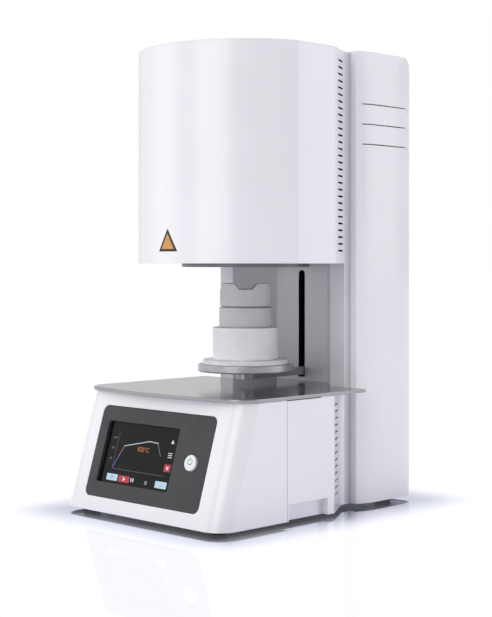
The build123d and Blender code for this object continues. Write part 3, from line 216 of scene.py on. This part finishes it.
# ---- Control panel -----------------------------------------------------------------------
# A dark grey moulded panel sits flush in the sloping front. It frames a touch screen at the
# left and carries the round power button at the right.

panel_grey = plain_material("panel_grey", colour(66, 66, 67), 0.42)
tinted(panel_grey, grain(panel_grey, 25), colour(63, 63, 64), colour(69, 69, 70))
panel_grey.node_tree.nodes["Principled BSDF"].inputs["Specular IOR Level"].default_value = 0.25
embossed(panel_grey, grain(panel_grey, 2600, detail=1.0), 0.00003, strength=0.4)
finished("control_bezel", "control_panel_moulded", panel_grey, 0.0007)

dark_glass = plain_material("dark_glass", colour(20, 20, 22), 0.07)
dark_glass.node_tree.nodes["Principled BSDF"].inputs["Specular IOR Level"].default_value = 0.12
tinted(dark_glass, grain(dark_glass, 14), colour(18, 18, 20), colour(23, 23, 25))
polished_between(dark_glass, grain(dark_glass, 45), 0.05, 0.12)
finished("touch_screen_glass", "touch_screen_bevelled", dark_glass, 0.0003)

display_case = plain_material("display_case", colour(24, 24, 26), 0.5)
tinted(display_case, grain(display_case, 300), colour(20, 20, 22), colour(30, 30, 32))
coated(display_case, "display_module")


# ---- What the screen shows ---------------------------------------------------------------
# The lit picture of a firing curve, its set temperature and the touch keys. It lies on the
# glass as flat shapes 0.1 mm thick, with the screen's own fine dot grid in each colour.

FRONT_LEAN = math.radians(17.17)          # the front leans back this far from upright
WINDOW_WIDE, WINDOW_HIGH = 0.1715, 0.1005 # all places in the picture are shares of this window
PICTURE_THICK, PICTURE_LIFT = 0.0001, 0.00004
KEY_WIDE, KEY_HIGH = 0.155, 0.107
SIDE_KEYS = 0.905                         # how far across the signs at the right stand
AXIS_LEFT, AXIS_RIGHT, AXIS_LOW, AXIS_TOP = 0.15, 0.88, 0.238, 0.85
HAIRLINE, CURVE_LINE = 0.0004, 0.0011     # line widths in metres
SMALL_CORNER = 0.0003
glass_low, glass_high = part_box("touch_screen_glass")
glass_size = glass_high - glass_low
glass_thick = ((glass_size.y * math.cos(FRONT_LEAN) - glass_size.z * math.sin(FRONT_LEAN))
               / math.cos(2 * FRONT_LEAN))
front_normal = Vector((0, -math.cos(FRONT_LEAN), math.sin(FRONT_LEAN)))
glass_face = (glass_low + glass_high) / 2 + front_normal * glass_thick / 2


def lit(name, glow, strength=1.0):
    """One colour of the screen's picture, broken up by the dot grid."""
    made = plain_material(name, colour(12, 12, 13), 0.2)
    nodes, links = made.node_tree.nodes, made.node_tree.links
    place = nodes.new("ShaderNodeTexCoord")
    dots = nodes.new("ShaderNodeTexVoronoi")
    dots.inputs["Scale"].default_value = 2600
    dots.inputs["Randomness"].default_value = 0.0
    ramp = nodes.new("ShaderNodeValToRGB")
    ramp.color_ramp.elements[0].color = glow
    ramp.color_ramp.elements[1].color = tuple(0.7 * part for part in glow[:3]) + (1.0,)
    links.new(place.outputs["Object"], dots.inputs["Vector"])
    links.new(dots.outputs["Distance"], ramp.inputs["Fac"])
    links.new(ramp.outputs["Color"], nodes["Principled BSDF"].inputs["Emission Color"])
    nodes["Principled BSDF"].inputs["Emission Strength"].default_value = strength
    return made


picture_parts = []


def on_window(piece, across, up, material):
    """Moves a flat shape drawn round the origin to its place in the window, from 0 to 1 each way."""
    alone(piece)
    piece.location = ((across - 0.5) * WINDOW_WIDE, (up - 0.5) * WINDOW_HIGH, 0)
    bpy.ops.object.transform_apply(location=True, rotation=True, scale=True)
    piece.data.materials.clear()
    piece.data.materials.append(material)
    picture_parts.append(piece)


def key_shape(across, up, wide, high, material, corner=0.0012):
    """A touch key or a stroke: a flat plate with rounded corners."""
    bpy.ops.mesh.primitive_plane_add(size=1)
    piece = bpy.context.object
    piece.scale = (wide * WINDOW_WIDE, high * WINDOW_HIGH, 1)
    bpy.ops.object.transform_apply(location=False, rotation=False, scale=True)
    bpy.ops.object.mode_set(mode="EDIT")
    bpy.ops.mesh.bevel(offset=min(corner, 0.45 * min(piece.dimensions.x, piece.dimensions.y)),
                       segments=4, affect="VERTICES")
    bpy.ops.object.mode_set(mode="OBJECT")
    on_window(piece, across, up, material)


def arrow_head(across, up, size, turn, material):
    """A triangle that points to the right, turned by so many degrees."""
    bpy.ops.mesh.primitive_circle_add(vertices=3, radius=size, fill_type="NGON",
                                      rotation=(0, 0, math.radians(turn - 90)))
    piece = bpy.context.object
    bpy.ops.object.transform_apply(location=False, rotation=True, scale=False)
    bpy.ops.object.mode_set(mode="EDIT")
    bpy.ops.mesh.bevel(offset=size * 0.08, segments=2, affect="VERTICES")
    bpy.ops.object.mode_set(mode="OBJECT")
    on_window(piece, across, up, material)


def stroke(start, end, wide, material):
    """A straight line between two places in the window, as a thin plate with round ends."""
    run = Vector(((end[0] - start[0]) * WINDOW_WIDE, (end[1] - start[1]) * WINDOW_HIGH, 0))
    bpy.ops.mesh.primitive_plane_add(size=1)
    piece = bpy.context.object
    piece.scale = (run.length + wide, wide, 1)
    bpy.ops.object.transform_apply(location=False, rotation=False, scale=True)
    bpy.ops.object.mode_set(mode="EDIT")
    bpy.ops.mesh.bevel(offset=0.48 * wide, segments=3, affect="VERTICES")
    bpy.ops.object.mode_set(mode="OBJECT")
    piece.rotation_euler = (0, 0, math.atan2(run.y, run.x))
    on_window(piece, (start[0] + end[0]) / 2, (start[1] + end[1]) / 2, material)


def figures(words, across, up, high, material):
    """Plain figures, made a mesh before they are placed."""
    bpy.ops.object.text_add()
    piece = bpy.context.object
    piece.data.body = words
    piece.data.align_x, piece.data.align_y = "CENTER", "CENTER"
    piece.data.size = high
    bpy.ops.object.convert(target="MESH")
    on_window(bpy.context.object, across, up, material)


screen_white = lit("screen_white", colour(225, 228, 235))
screen_grey = lit("screen_grey", colour(120, 122, 128))
screen_blue = lit("screen_blue", colour(190, 222, 238))
screen_deep_blue = lit("screen_deep_blue", colour(70, 110, 215))
screen_pink = lit("screen_pink", colour(225, 95, 150))
screen_red = lit("screen_red", colour(188, 22, 42))
screen_orange = lit("screen_orange", colour(196, 108, 44))

curve = [(0.154, 0.27), (0.205, 0.45), (0.257, 0.625), (0.596, 0.747), (0.708, 0.735), (0.778, 0.545)]
paints = (screen_deep_blue, screen_pink, screen_white, screen_white, screen_grey)
for start, end, paint in zip(curve, curve[1:], paints):
    stroke(start, end, CURVE_LINE, paint)
for place, paint in zip(curve, (screen_deep_blue, *paints)):
    key_shape(*place, 0.012, 0.02, paint)
stroke((AXIS_LEFT, AXIS_LOW), (AXIS_RIGHT, AXIS_LOW), HAIRLINE, screen_grey)
stroke((AXIS_LEFT, AXIS_LOW), (AXIS_LEFT, AXIS_TOP), HAIRLINE, screen_grey)
for step, mark in enumerate(("400", "800", "1200")):
    height = 0.4 + 0.17 * step
    figures(mark, 0.1, height, 0.0045, screen_grey)
    stroke((AXIS_LEFT - 0.01, height), (AXIS_LEFT, height), HAIRLINE, screen_grey)
for step in range(5):
    across = 0.25 + 0.13 * step
    stroke((across, AXIS_LOW), (across, AXIS_LOW + 0.017), HAIRLINE, screen_grey)
figures("820°C", 0.53, 0.6, 0.0105, screen_orange)
bottom_keys = ((0.177, 0.10, screen_blue), (0.348, 0.095, screen_red), (0.866, 0.097, screen_blue))
for across, up, paint in bottom_keys:
    key_shape(across, up, KEY_WIDE, KEY_HIGH, paint)
key_shape(SIDE_KEYS, 0.37, 0.086, 0.118, screen_red)
for line in range(3):
    key_shape(SIDE_KEYS, 0.54 + 0.032 * line, 0.055, 0.013, screen_white, SMALL_CORNER)
for side in (-1, 1):
    key_shape(0.466 + 0.014 * side, 0.10, 0.013, 0.062, screen_white, SMALL_CORNER)
key_shape(0.66, 0.092, 0.036, 0.06, screen_grey)
arrow_head(SIDE_KEYS, 0.78, 0.0042, 90, screen_white)
keys_below = len(picture_parts)

arrow_head(0.348, 0.095, 0.0042, 0, screen_white)
arrow_head(SIDE_KEYS, 0.37, 0.0042, -90, screen_white)
figures("+", 0.177, 0.10, 0.012, screen_deep_blue)
figures("-", 0.866, 0.097, 0.012, screen_deep_blue)
for order, part in enumerate(picture_parts):  # the signs on the keys lie above the keys
    lift = PICTURE_LIFT if order < keys_below else PICTURE_LIFT + PICTURE_THICK
    for corner in part.data.vertices:
        corner.co.z += lift

bpy.ops.object.select_all(action="DESELECT")
for part in picture_parts:
    part.select_set(True)
bpy.context.view_layer.objects.active = picture_parts[0]
bpy.ops.object.join()
picture = bpy.context.object
picture.name = "firing_picture"
shaped(picture, "SOLIDIFY", thickness=PICTURE_THICK, offset=1)
picture.data.transform(Matrix.Translation(glass_face)
                       @ Matrix.Rotation(math.pi / 2 - FRONT_LEAN, 4, "X"))
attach(picture, "body")


# ---- Power button ------------------------------------------------------------------------
# A white moulded cap with a rounded rim travels 3 mm in a black barrel. A green power sign,
# a broken ring with a bar, lies raised in its shallow dish.

button_white = plain_material("button_white", colour(235, 236, 238), 0.3, coat=0.3)
tinted(button_white, grain(button_white, 40), colour(230, 231, 233), colour(240, 241, 243))
embossed(button_white, grain(button_white, 2200, detail=1.0), 0.00001)
cap = finished("power_button_cap", "power_button_cap_moulded", button_white, 0.0004)

black_moulding = plain_material("black_moulding", colour(26, 26, 28), 0.48)
tinted(black_moulding, grain(black_moulding, 120), colour(22, 22, 24), colour(33, 33, 35))
embossed(black_moulding, grain(black_moulding, 2000, detail=1.0), 0.00004)
finished("power_button_barrel", "power_button_barrel_moulded", black_moulding, 0.0002)

SIGN_R, SIGN_STROKE, SIGN_THICK = 0.0047, 0.0014, 0.00016
SIGN_GAP = 34                             # degrees left open on each side of the bar
cap_low, cap_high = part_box("power_button_cap")
button_middle = (cap_low + cap_high) / 2
RAY_START = 0.02                          # the dish is felt for from this far in front
on_ring = button_middle + Vector((SIGN_R, 0, 0)) + front_normal * RAY_START
bpy.context.view_layer.update()
dish_point = cap.ray_cast(on_ring, -front_normal)[1]
sign_place = button_middle + front_normal * (dish_point - button_middle).dot(front_normal)
sign_green = plain_material("sign_green", colour(40, 140, 76), 0.45)
tinted(sign_green, grain(sign_green, 900), colour(32, 128, 66), colour(48, 150, 86))

bpy.ops.object.select_all(action="DESELECT")
bpy.ops.mesh.primitive_torus_add(major_segments=72, minor_segments=8, major_radius=SIGN_R,
                                 minor_radius=SIGN_STROKE / 2)
sign = bpy.context.object
sign.name = "power_sign"
for corner in sign.data.vertices:
    off_top = abs(math.degrees(math.atan2(corner.co.x, corner.co.y)))
    corner.select = off_top < SIGN_GAP
for edge in sign.data.edges:
    edge.select = all(sign.data.vertices[end].select for end in edge.vertices)
for face in sign.data.polygons:
    face.select = all(sign.data.vertices[end].select for end in face.vertices)
bpy.ops.object.mode_set(mode="EDIT")
bpy.ops.mesh.delete(type="VERT")
bpy.ops.mesh.select_mode(type="EDGE")
bpy.ops.mesh.select_non_manifold()
bpy.ops.mesh.fill_holes(sides=0)
bpy.ops.object.mode_set(mode="OBJECT")
bpy.ops.mesh.primitive_cube_add(size=1)
bar = bpy.context.object
bar.scale = (SIGN_STROKE, 1.15 * SIGN_R, SIGN_STROKE)
bar.location = (0, 0.72 * SIGN_R, 0)
bpy.ops.object.transform_apply(location=True, rotation=False, scale=True)
shaped(bar, "BEVEL", width=0.3 * SIGN_STROKE, segments=3)
sign.select_set(True)
bpy.context.view_layer.objects.active = sign
bpy.ops.object.join()
bpy.ops.object.shade_smooth_by_angle(angle=math.radians(40))
sign.data.transform(Matrix.Translation(sign_place) @ Matrix.Rotation(math.pi / 2 - FRONT_LEAN, 4, "X")
                    @ Matrix.Diagonal((1, 1, SIGN_THICK / SIGN_STROKE, 1)))
sign.data.materials.clear()
sign.data.materials.append(sign_green)
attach(sign, "power_button")


# ---- Deck --------------------------------------------------------------------------------
# One 6 mm stainless plate covers the base. It is polished along its width, so it mirrors the
# table and the pillars in soft streaks, and its edges are ground to a bright bevel.

deck_steel = plain_material("deck_steel", colour(158, 157, 159), 0.16, metallic=0.88)
brushing = grain(deck_steel, 12, detail=6.0, stretch=(1, 60, 60))
tinted(deck_steel, brushing, colour(155, 154, 156), colour(162, 161, 163))
polished_between(deck_steel, brushing, 0.12, 0.17)
embossed(deck_steel, grain(deck_steel, 14, detail=4.0, stretch=(1, 120, 120)), 0.000004, strength=0.1)
finished("deck_plate", "deck_plate_polished", deck_steel, 0.0012)


# ---- Tower and column --------------------------------------------------------------------
# The tower is a folded steel shell that hides the lift. Two silver-grey pillars, folded with
# their slanted walls, and a slotted plate between them make the recess in front of it.

tower_white = powder_coat("tower_white", colour(231, 229, 232), colour(237, 235, 238))
tower = finished("tower_shell", "tower_shell_folded", tower_white, 0.0003)
# A near-black material paints shade: in the tower's pressed grooves and in the head's vent slots.
painted_shade = plain_material("painted_shade_dark", colour(26, 26, 28), 0.7)
tinted(painted_shade, grain(painted_shade, 120), colour(20, 20, 22), colour(34, 34, 36))
GROOVES_FROM, GROOVES_TO = 0.5, 0.72       # heights between which the grooves lie
GROOVE_LOW, GROOVE_HIGH = 0.0008, 0.0045   # a groove's faces are this high
tower.data.materials.append(painted_shade)           # the faces of the three pressed grooves are coloured dark, which paints the shade in them
for face in tower.data.polygons:
    spread = [tower.data.vertices[corner].co for corner in face.vertices]
    high = max(point.z for point in spread) - min(point.z for point in spread)
    wide = max((point - spread[0]).length for point in spread)
    in_reach = GROOVES_FROM < face.center.z < GROOVES_TO and abs(face.normal.z) < 0.5
    if in_reach and GROOVE_LOW < high < GROOVE_HIGH < wide:
        face.material_index = 1
finished("rear_panel", "rear_panel_punched", tower_white, 0.0005)

column_grey = plain_material("column_grey", colour(212, 212, 217), 0.4, metallic=0.15, coat=0.2)
tinted(column_grey, grain(column_grey, 9), colour(208, 208, 213), colour(216, 216, 221))
embossed(column_grey, grain(column_grey, 1600, detail=1.0), 0.00002, strength=0.35)
finished("column_pillars", "column_pillars_folded", column_grey, 0.0006)
finished("recess_plate", "recess_plate_slotted", column_grey, 0.0004)

zinc = plain_material("zinc_plate", colour(185, 187, 190), 0.3, metallic=1.0)
tinted(zinc, grain(zinc, 500), colour(170, 172, 174), colour(200, 202, 206))
finished("rear_panel_screws", "rear_panel_screw_heads", zinc, 0.0005)
coated(zinc, "board_spacers")


# ---- Fan, mains inlet and switch ---------------------------------------------------------
# Glass-filled black plastic pieces at the back: an axial fan behind its guard holes, a
# three-pin inlet and a rocker switch in snap-in frames.

for node, name, edge in (("fan_frame", "fan_frame_moulded", 0.0006),
                         ("fan_rotor", "fan_rotor_moulded", 0.0004),
                         ("mains_inlet", "mains_inlet_moulded", 0.0006),
                         ("main_switch_frame", "main_switch_frame_moulded", 0.0006),
                         ("main_switch_rocker", "main_switch_rocker_moulded", 0.0006)):
    finished(node, name, black_moulding, edge)


# ---- Head --------------------------------------------------------------------------------
# The head's casing is rolled from sheet round the firing chamber, with vent slots punched in
# its rear chamfers, and a flat cover closes it from above. Both have the shell's coat; the
# casing's inner skin and slot walls are coloured near black as painted shade in the slots.

casing = finished("head_casing", "head_casing_rolled", shell_white, 0.0002)
casing.data.materials.append(painted_shade)          # the inner skin and the slot walls get the dark paint: painted shade seen in the vent slots
casing_low, casing_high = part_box("head_casing")
casing_middle = (casing_low + casing_high) / 2
CASING_RIM = 0.003                        # the rims at the top and bottom stay white
slots_within = casing_high.z - casing_middle.z - CASING_RIM
for face in casing.data.polygons:
    outward = (face.center - casing_middle).dot(Vector((face.normal.x, face.normal.y, 0)))
    slot_wall = abs(face.normal.z) > 0.9 and abs(face.center.z - casing_middle.z) < slots_within
    if outward < 0 or slot_wall:
        face.material_index = 1
finished("head_top_cover", "head_top_cover_flat", shell_white, 0.0007)


# ---- Foil mark on the head ---------------------------------------------------------------
# A plain orange triangle of foil with a dark border, 42 mm along each side, is stuck low on
# the head's front arc. It carries no sign and no words.

MARK_REACH, MARK_BORDER, FOIL_THICK = 0.0245, 0.0078, 0.0002
MARK_HEIGHT, MARK_ACROSS = 0.440, 0.0030
head_radius = -casing_low.y


def foil(name, reach, lift, material):
    """A triangle laid on the arc of the head, standing off it by the foils under it."""
    bpy.ops.object.select_all(action="DESELECT")
    bpy.ops.mesh.primitive_circle_add(vertices=3, radius=reach, fill_type="NGON")
    piece = bpy.context.object
    piece.name = name
    bpy.ops.object.mode_set(mode="EDIT")
    bpy.ops.mesh.select_all(action="SELECT")
    bpy.ops.mesh.bevel(offset=0.05 * reach, segments=3, affect="VERTICES")
    bpy.ops.mesh.quads_convert_to_tris()
    bpy.ops.mesh.subdivide(number_cuts=10)
    bpy.ops.object.mode_set(mode="OBJECT")
    for corner in piece.data.vertices:
        across, up = corner.co.x + MARK_ACROSS, corner.co.y + MARK_HEIGHT
        corner.co = (across, -math.sqrt((head_radius + lift) ** 2 - across ** 2), up)
    shaped(piece, "SOLIDIFY", thickness=FOIL_THICK, offset=1)
    piece.data.materials.append(material)
    return piece


foil_black = plain_material("foil_black", colour(38, 30, 24), 0.5)
tinted(foil_black, grain(foil_black, 300), colour(34, 26, 20), colour(44, 36, 30))
foil_orange = plain_material("foil_orange", colour(206, 144, 78), 0.38)
tinted(foil_orange, grain(foil_orange, 260), colour(198, 134, 68), colour(214, 154, 88))
border = foil("foil_mark", MARK_REACH, 0.0, foil_black)
middle = foil("foil_mark_middle", MARK_REACH - MARK_BORDER, FOIL_THICK, foil_orange)
alone(border)
middle.select_set(True)
bpy.ops.object.join()
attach(border, "body")


# ---- Throat, insulation and heaters ------------------------------------------------------
# A thick turned steel ring is the mouth of the chamber. Above it are three blocks of pressed
# ceramic fibre in a tin, with four hairpin heaters hung through the roof.

flange_steel = plain_material("flange_steel", colour(118, 119, 122), 0.32, metallic=0.7)
tinted(flange_steel, grain(flange_steel, 20), colour(114, 115, 118), colour(124, 125, 128))
polished_between(flange_steel, grain(flange_steel, 60), 0.28, 0.36)
finished("throat_flange", "throat_ring_turned", flange_steel, 0.0008)

fibre = plain_material("fibre_block", colour(236, 232, 222), 0.95)
tinted(fibre, grain(fibre, 160, detail=6.0), colour(226, 221, 208), colour(243, 240, 232))
embossed(fibre, grain(fibre, 700, detail=5.0, distortion=1.5), 0.0004)
coated(fibre, "insulation_lower", "insulation_middle", "insulation_roof", "element_clamps")

element_dark = plain_material("element_dark", colour(62, 58, 56), 0.55, metallic=0.6)
tinted(element_dark, grain(element_dark, 250), colour(48, 45, 44), colour(84, 78, 74))
embossed(element_dark, grain(element_dark, 1500), 0.0001)
finished("heating_elements", "heating_hairpins", element_dark, 0.0001)


# ---- Table and ceramics ------------------------------------------------------------------
# The lift table is a turned steel disc on a boss and arm. White fired ceramic stands on it:
# a thin plate, two cylindrical plinths and the notched crucible that holds the ware.

table_steel = plain_material("table_steel", colour(186, 186, 189), 0.33, metallic=0.5)
tinted(table_steel, grain(table_steel, 30, detail=5.0), colour(180, 180, 184), colour(194, 194, 197))
polished_between(table_steel, grain(table_steel, 300, stretch=(1, 1, 8)), 0.26, 0.42)
finished("table_disc", "table_disc_turned", table_steel, 0.0016)
finished("table_boss", "table_boss_turned", table_steel, 0.0006)
finished("lift_arm", "lift_arm_milled", table_steel, 0.0006)


def fired_ceramic(name, dark, light, fleck):
    """Chalky fired alumina: a faint cloud of colour, fine dark flecks and open pores."""
    made = plain_material(name, light, 0.85)
    nodes, links = made.node_tree.nodes, made.node_tree.links
    tinted(made, grain(made, 28, detail=6.0), dark, light)
    cloud = nodes["Principled BSDF"].inputs["Base Color"].links[0].from_socket
    specks = nodes.new("ShaderNodeValToRGB")
    specks.color_ramp.elements[0].position, specks.color_ramp.elements[1].position = 0.60, 0.70
    links.new(grain(made, 850, detail=2.0), specks.inputs["Fac"])
    blend = nodes.new("ShaderNodeMix")
    blend.data_type = "RGBA"
    blend.inputs[7].default_value = fleck
    links.new(specks.outputs["Color"], blend.inputs[0])
    links.new(cloud, blend.inputs[6])
    links.new(blend.outputs[2], nodes["Principled BSDF"].inputs["Base Color"])
    embossed(made, grain(made, 700, detail=4.0), 0.0009)
    return made


plinth_white = fired_ceramic("plinth_white", colour(236, 236, 238), colour(246, 246, 247),
                             colour(214, 213, 213))
crucible_white = fired_ceramic("crucible_white", colour(200, 199, 200), colour(214, 214, 215),
                               colour(174, 173, 173))
finished("ceramic_base_plate", "ceramic_plate_fired", plinth_white, 0.0009)
finished("plinth_lower", "plinth_lower_fired", plinth_white, 0.0012)
finished("plinth_upper", "plinth_upper_fired", crucible_white, 0.0012)
finished("crucible", "crucible_fired", crucible_white, 0.0008)
coated(plinth_white, "thermocouple")


# ---- Lift drive --------------------------------------------------------------------------
# Hidden in the tower: a stepping motor turns a lead screw, and a bronze nut carries the
# milled carriage up two rods. The screw, the rods and the mast plate are coloured near black,
# which paints the shade seen through the column's slot.

ground_steel = plain_material("ground_steel", colour(200, 202, 206), 0.16, metallic=1.0)
tinted(ground_steel, grain(ground_steel, 80), colour(190, 192, 196), colour(210, 212, 216))
polished_between(ground_steel, grain(ground_steel, 400, stretch=(1, 1, 12)), 0.12, 0.24)
coated(ground_steel, "linear_bearings", "screw_bearings", "motor_shaft")

# Near black paints the shade seen through the column's slot on the screw, the mast plate and the rods.
slot_shade_black = plain_material("steel_painted_slot_shade", colour(22, 22, 24), 0.8)
tinted(slot_shade_black, grain(slot_shade_black, 200), colour(18, 18, 20), colour(28, 28, 30))
coated(slot_shade_black, "lead_screw", "mast_plate", "guide_rods")

milled_alloy = plain_material("milled_alloy", colour(188, 190, 194), 0.34, metallic=1.0)
tinted(milled_alloy, grain(milled_alloy, 150, stretch=(1, 1, 6)),
       colour(176, 178, 182), colour(200, 202, 206))
polished_between(milled_alloy, grain(milled_alloy, 300), 0.28, 0.42)
coated(milled_alloy, "lift_carriage", "screw_bracket_lower", "screw_bracket_upper", "motor_plate",
       "shaft_coupling")

bronze = plain_material("nut_bronze", colour(176, 132, 78), 0.32, metallic=1.0)
tinted(bronze, grain(bronze, 200), colour(158, 116, 66), colour(190, 148, 92))
coated(bronze, "lead_nut")


# ---- Electrics in the base ---------------------------------------------------------------
# A laminated transformer with a copper winding feeds the heaters. A power module on a finned
# heat sink switches it, and a board behind the screen runs the firing.

lamination = plain_material("iron_lamination", colour(70, 72, 78), 0.5, metallic=0.8)
sheets = lamination.node_tree.nodes.new("ShaderNodeTexWave")
sheets.bands_direction = "Y"
sheets.inputs["Scale"].default_value = 320
place = lamination.node_tree.nodes.new("ShaderNodeTexCoord")
lamination.node_tree.links.new(place.outputs["Object"], sheets.inputs["Vector"])
tinted(lamination, sheets.outputs["Fac"], colour(52, 53, 58), colour(92, 94, 100))
embossed(lamination, sheets.outputs["Fac"], 0.0003)
coated(lamination, "transformer_core", "lift_motor")

copper = plain_material("coil_copper", colour(184, 110, 70), 0.35, metallic=0.9)
turns = copper.node_tree.nodes.new("ShaderNodeTexWave")
turns.bands_direction = "Z"
turns.inputs["Scale"].default_value = 260
place = copper.node_tree.nodes.new("ShaderNodeTexCoord")
copper.node_tree.links.new(place.outputs["Object"], turns.inputs["Vector"])
tinted(copper, turns.outputs["Fac"], colour(120, 62, 36), colour(196, 122, 80))
embossed(copper, turns.outputs["Fac"], 0.0005)
coated(copper, "transformer_coil")

anodised = plain_material("black_anodised", colour(44, 45, 48), 0.45, metallic=0.7)
tinted(anodised, grain(anodised, 90, stretch=(8, 1, 1)), colour(36, 37, 40), colour(54, 55, 58))
coated(anodised, "power_heat_sink")
coated(black_moulding, "power_module")

board_green = plain_material("board_green", colour(28, 92, 58), 0.35, coat=0.4)
tinted(board_green, grain(board_green, 350, detail=1.0),
       colour(20, 76, 46), colour(40, 112, 72), 0.48, 0.52)
coated(board_green, "controller_board")


# ---- Studio ------------------------------------------------------------------------------
# A plain pale floor and soft even light, and a level camera off the kiln's front right edge.

bpy.ops.mesh.primitive_plane_add(size=60)
floor = bpy.context.object
floor.name = "studio_floor"
floor_white = plain_material("floor_white", colour(214, 217, 243), 0.02, metallic=1.0)
nodes, links = floor_white.node_tree.nodes, floor_white.node_tree.links
# The lacquered floor mirrors the kiln where it stands; close round the kiln its glow is held low, which
# paints a dark bluish contact shadow there, and beyond it runs out to the white sweep.
FOOTPRINT = (0.17, 0.235, 0.0)            # half the width and half the depth that are mirrored and lie fully in the painted shadow
SWEEP_LEAST, SWEEP_MOST = 0.04, 0.88      # the sweep's share at the kiln, kept low to paint the shadow, and beyond it
# The painted contact shadow fades out over this reach beyond the footprint; the sweep glows this
# bright.
SHADOW_REACH, SWEEP_LIGHT = 0.12, 1.14
place = nodes.new("ShaderNodeTexCoord")
folded = nodes.new("ShaderNodeVectorMath")
folded.operation = "ABSOLUTE"
beyond = nodes.new("ShaderNodeVectorMath")
beyond.operation = "SUBTRACT"
beyond.inputs[1].default_value = FOOTPRINT
outside = nodes.new("ShaderNodeVectorMath")
outside.operation = "MAXIMUM"
span = nodes.new("ShaderNodeVectorMath")
span.operation = "LENGTH"
painted_shadow_fade = nodes.new("ShaderNodeMapRange")
painted_shadow_fade.interpolation_type = "SMOOTHSTEP"
painted_shadow_fade.inputs["From Min"].default_value, painted_shadow_fade.inputs["From Max"].default_value = 0.0, SHADOW_REACH
painted_shadow_fade.inputs["To Min"].default_value, painted_shadow_fade.inputs["To Max"].default_value = SWEEP_LEAST, SWEEP_MOST
sweep = nodes.new("ShaderNodeEmission")
sweep.inputs["Color"].default_value = (0.94, 0.95, 1.0, 1.0)
sweep.inputs["Strength"].default_value = SWEEP_LIGHT
blend = nodes.new("ShaderNodeMixShader")
links.new(place.outputs["Object"], folded.inputs[0])
links.new(folded.outputs["Vector"], beyond.inputs[0])
links.new(beyond.outputs["Vector"], outside.inputs[0])
links.new(outside.outputs["Vector"], span.inputs[0])
links.new(span.outputs["Value"], painted_shadow_fade.inputs["Value"])
links.new(painted_shadow_fade.outputs["Result"], blend.inputs["Fac"])
links.new(nodes["Principled BSDF"].outputs["BSDF"], blend.inputs[1])
links.new(sweep.outputs["Emission"], blend.inputs[2])
links.new(blend.outputs["Shader"], nodes["Material Output"].inputs["Surface"])
floor.data.materials.append(floor_white)

# Soft boxes stand round the kiln. Each runs from and to so many degrees from straight ahead, and
# has its brightness and how pink it is. The gaps before, between and after them are dimmer.
BOX_EDGE, WALL_PEAK = 7, 3.0
SOFT_BOXES = ((-66, -33, 1.3, 0.0), (-8, 28, 2.2, 0.0), (112, 150, 1.65, 0.07))
GAPS = (0.75, 0.5, 0.25, 0.7)


def wall_tone(level, pink):
    return tuple(part * level / WALL_PEAK for part in (1.0, 1.0 - pink, 1.01)) + (1.0,)


wall_stops = [(-180, wall_tone(GAPS[0], 0))]
for before, after, (start, end, level, pink) in zip(GAPS, GAPS[1:], SOFT_BOXES):
    wall_stops += [(start - BOX_EDGE, wall_tone(before, 0)), (start + BOX_EDGE, wall_tone(level, pink)),
                   (end - BOX_EDGE, wall_tone(level, pink)), (end + BOX_EDGE, wall_tone(after, 0))]
studio = bpy.data.worlds.new("studio_wall")
studio.use_nodes = True
nodes, links = studio.node_tree.nodes, studio.node_tree.links
way = nodes.new("ShaderNodeTexCoord")
split = nodes.new("ShaderNodeSeparateXYZ")
links.new(way.outputs["Generated"], split.inputs["Vector"])
back = nodes.new("ShaderNodeMath")
back.operation = "MULTIPLY"
back.inputs[1].default_value = -1.0
links.new(split.outputs["Y"], back.inputs[0])
turn = nodes.new("ShaderNodeMath")
turn.operation = "ARCTAN2"
links.new(split.outputs["X"], turn.inputs[0])
links.new(back.outputs["Value"], turn.inputs[1])
round_wall = nodes.new("ShaderNodeMapRange")
round_wall.inputs["From Min"].default_value = -math.pi
round_wall.inputs["From Max"].default_value = math.pi
links.new(turn.outputs["Value"], round_wall.inputs["Value"])
wall = nodes.new("ShaderNodeValToRGB")
wall.color_ramp.interpolation = "EASE"
stops = wall.color_ramp.elements
while len(stops) < len(wall_stops):
    stops.new(0.5)
for stop, (degrees, tone) in zip(stops, wall_stops):
    stop.position, stop.color = (degrees + 180) / 360, tone
links.new(round_wall.outputs["Result"], wall.inputs["Fac"])
lit_wall = nodes["Background"]
lit_wall.inputs["Strength"].default_value = WALL_PEAK
links.new(wall.outputs["Color"], lit_wall.inputs["Color"])
backdrop = nodes.new("ShaderNodeBackground")
backdrop.inputs["Color"].default_value = (1.0, 1.0, 1.0, 1.0)
seen = nodes.new("ShaderNodeLightPath")
choose = nodes.new("ShaderNodeMixShader")
links.new(seen.outputs["Is Camera Ray"], choose.inputs["Fac"])
links.new(lit_wall.outputs["Background"], choose.inputs[1])
links.new(backdrop.outputs["Background"], choose.inputs[2])
links.new(choose.outputs["Shader"], nodes["World Output"].inputs["Surface"])
bpy.context.scene.world = studio
bpy.context.scene.view_settings.view_transform = "Standard"

CAMERA_PLACE = (1.652468, -1.677189, 0.4085)
CAMERA_AZIMUTH = math.radians(44.563)
LENS_MM, SENSOR_MM, SHIFT_UP = 80.83, 36, -0.073
bpy.ops.object.camera_add(location=CAMERA_PLACE, rotation=(math.pi / 2, 0, CAMERA_AZIMUTH))
camera = bpy.context.object
camera.data.lens = LENS_MM
camera.data.sensor_width = SENSOR_MM
camera.data.shift_y = SHIFT_UP
bpy.context.scene.camera = camera
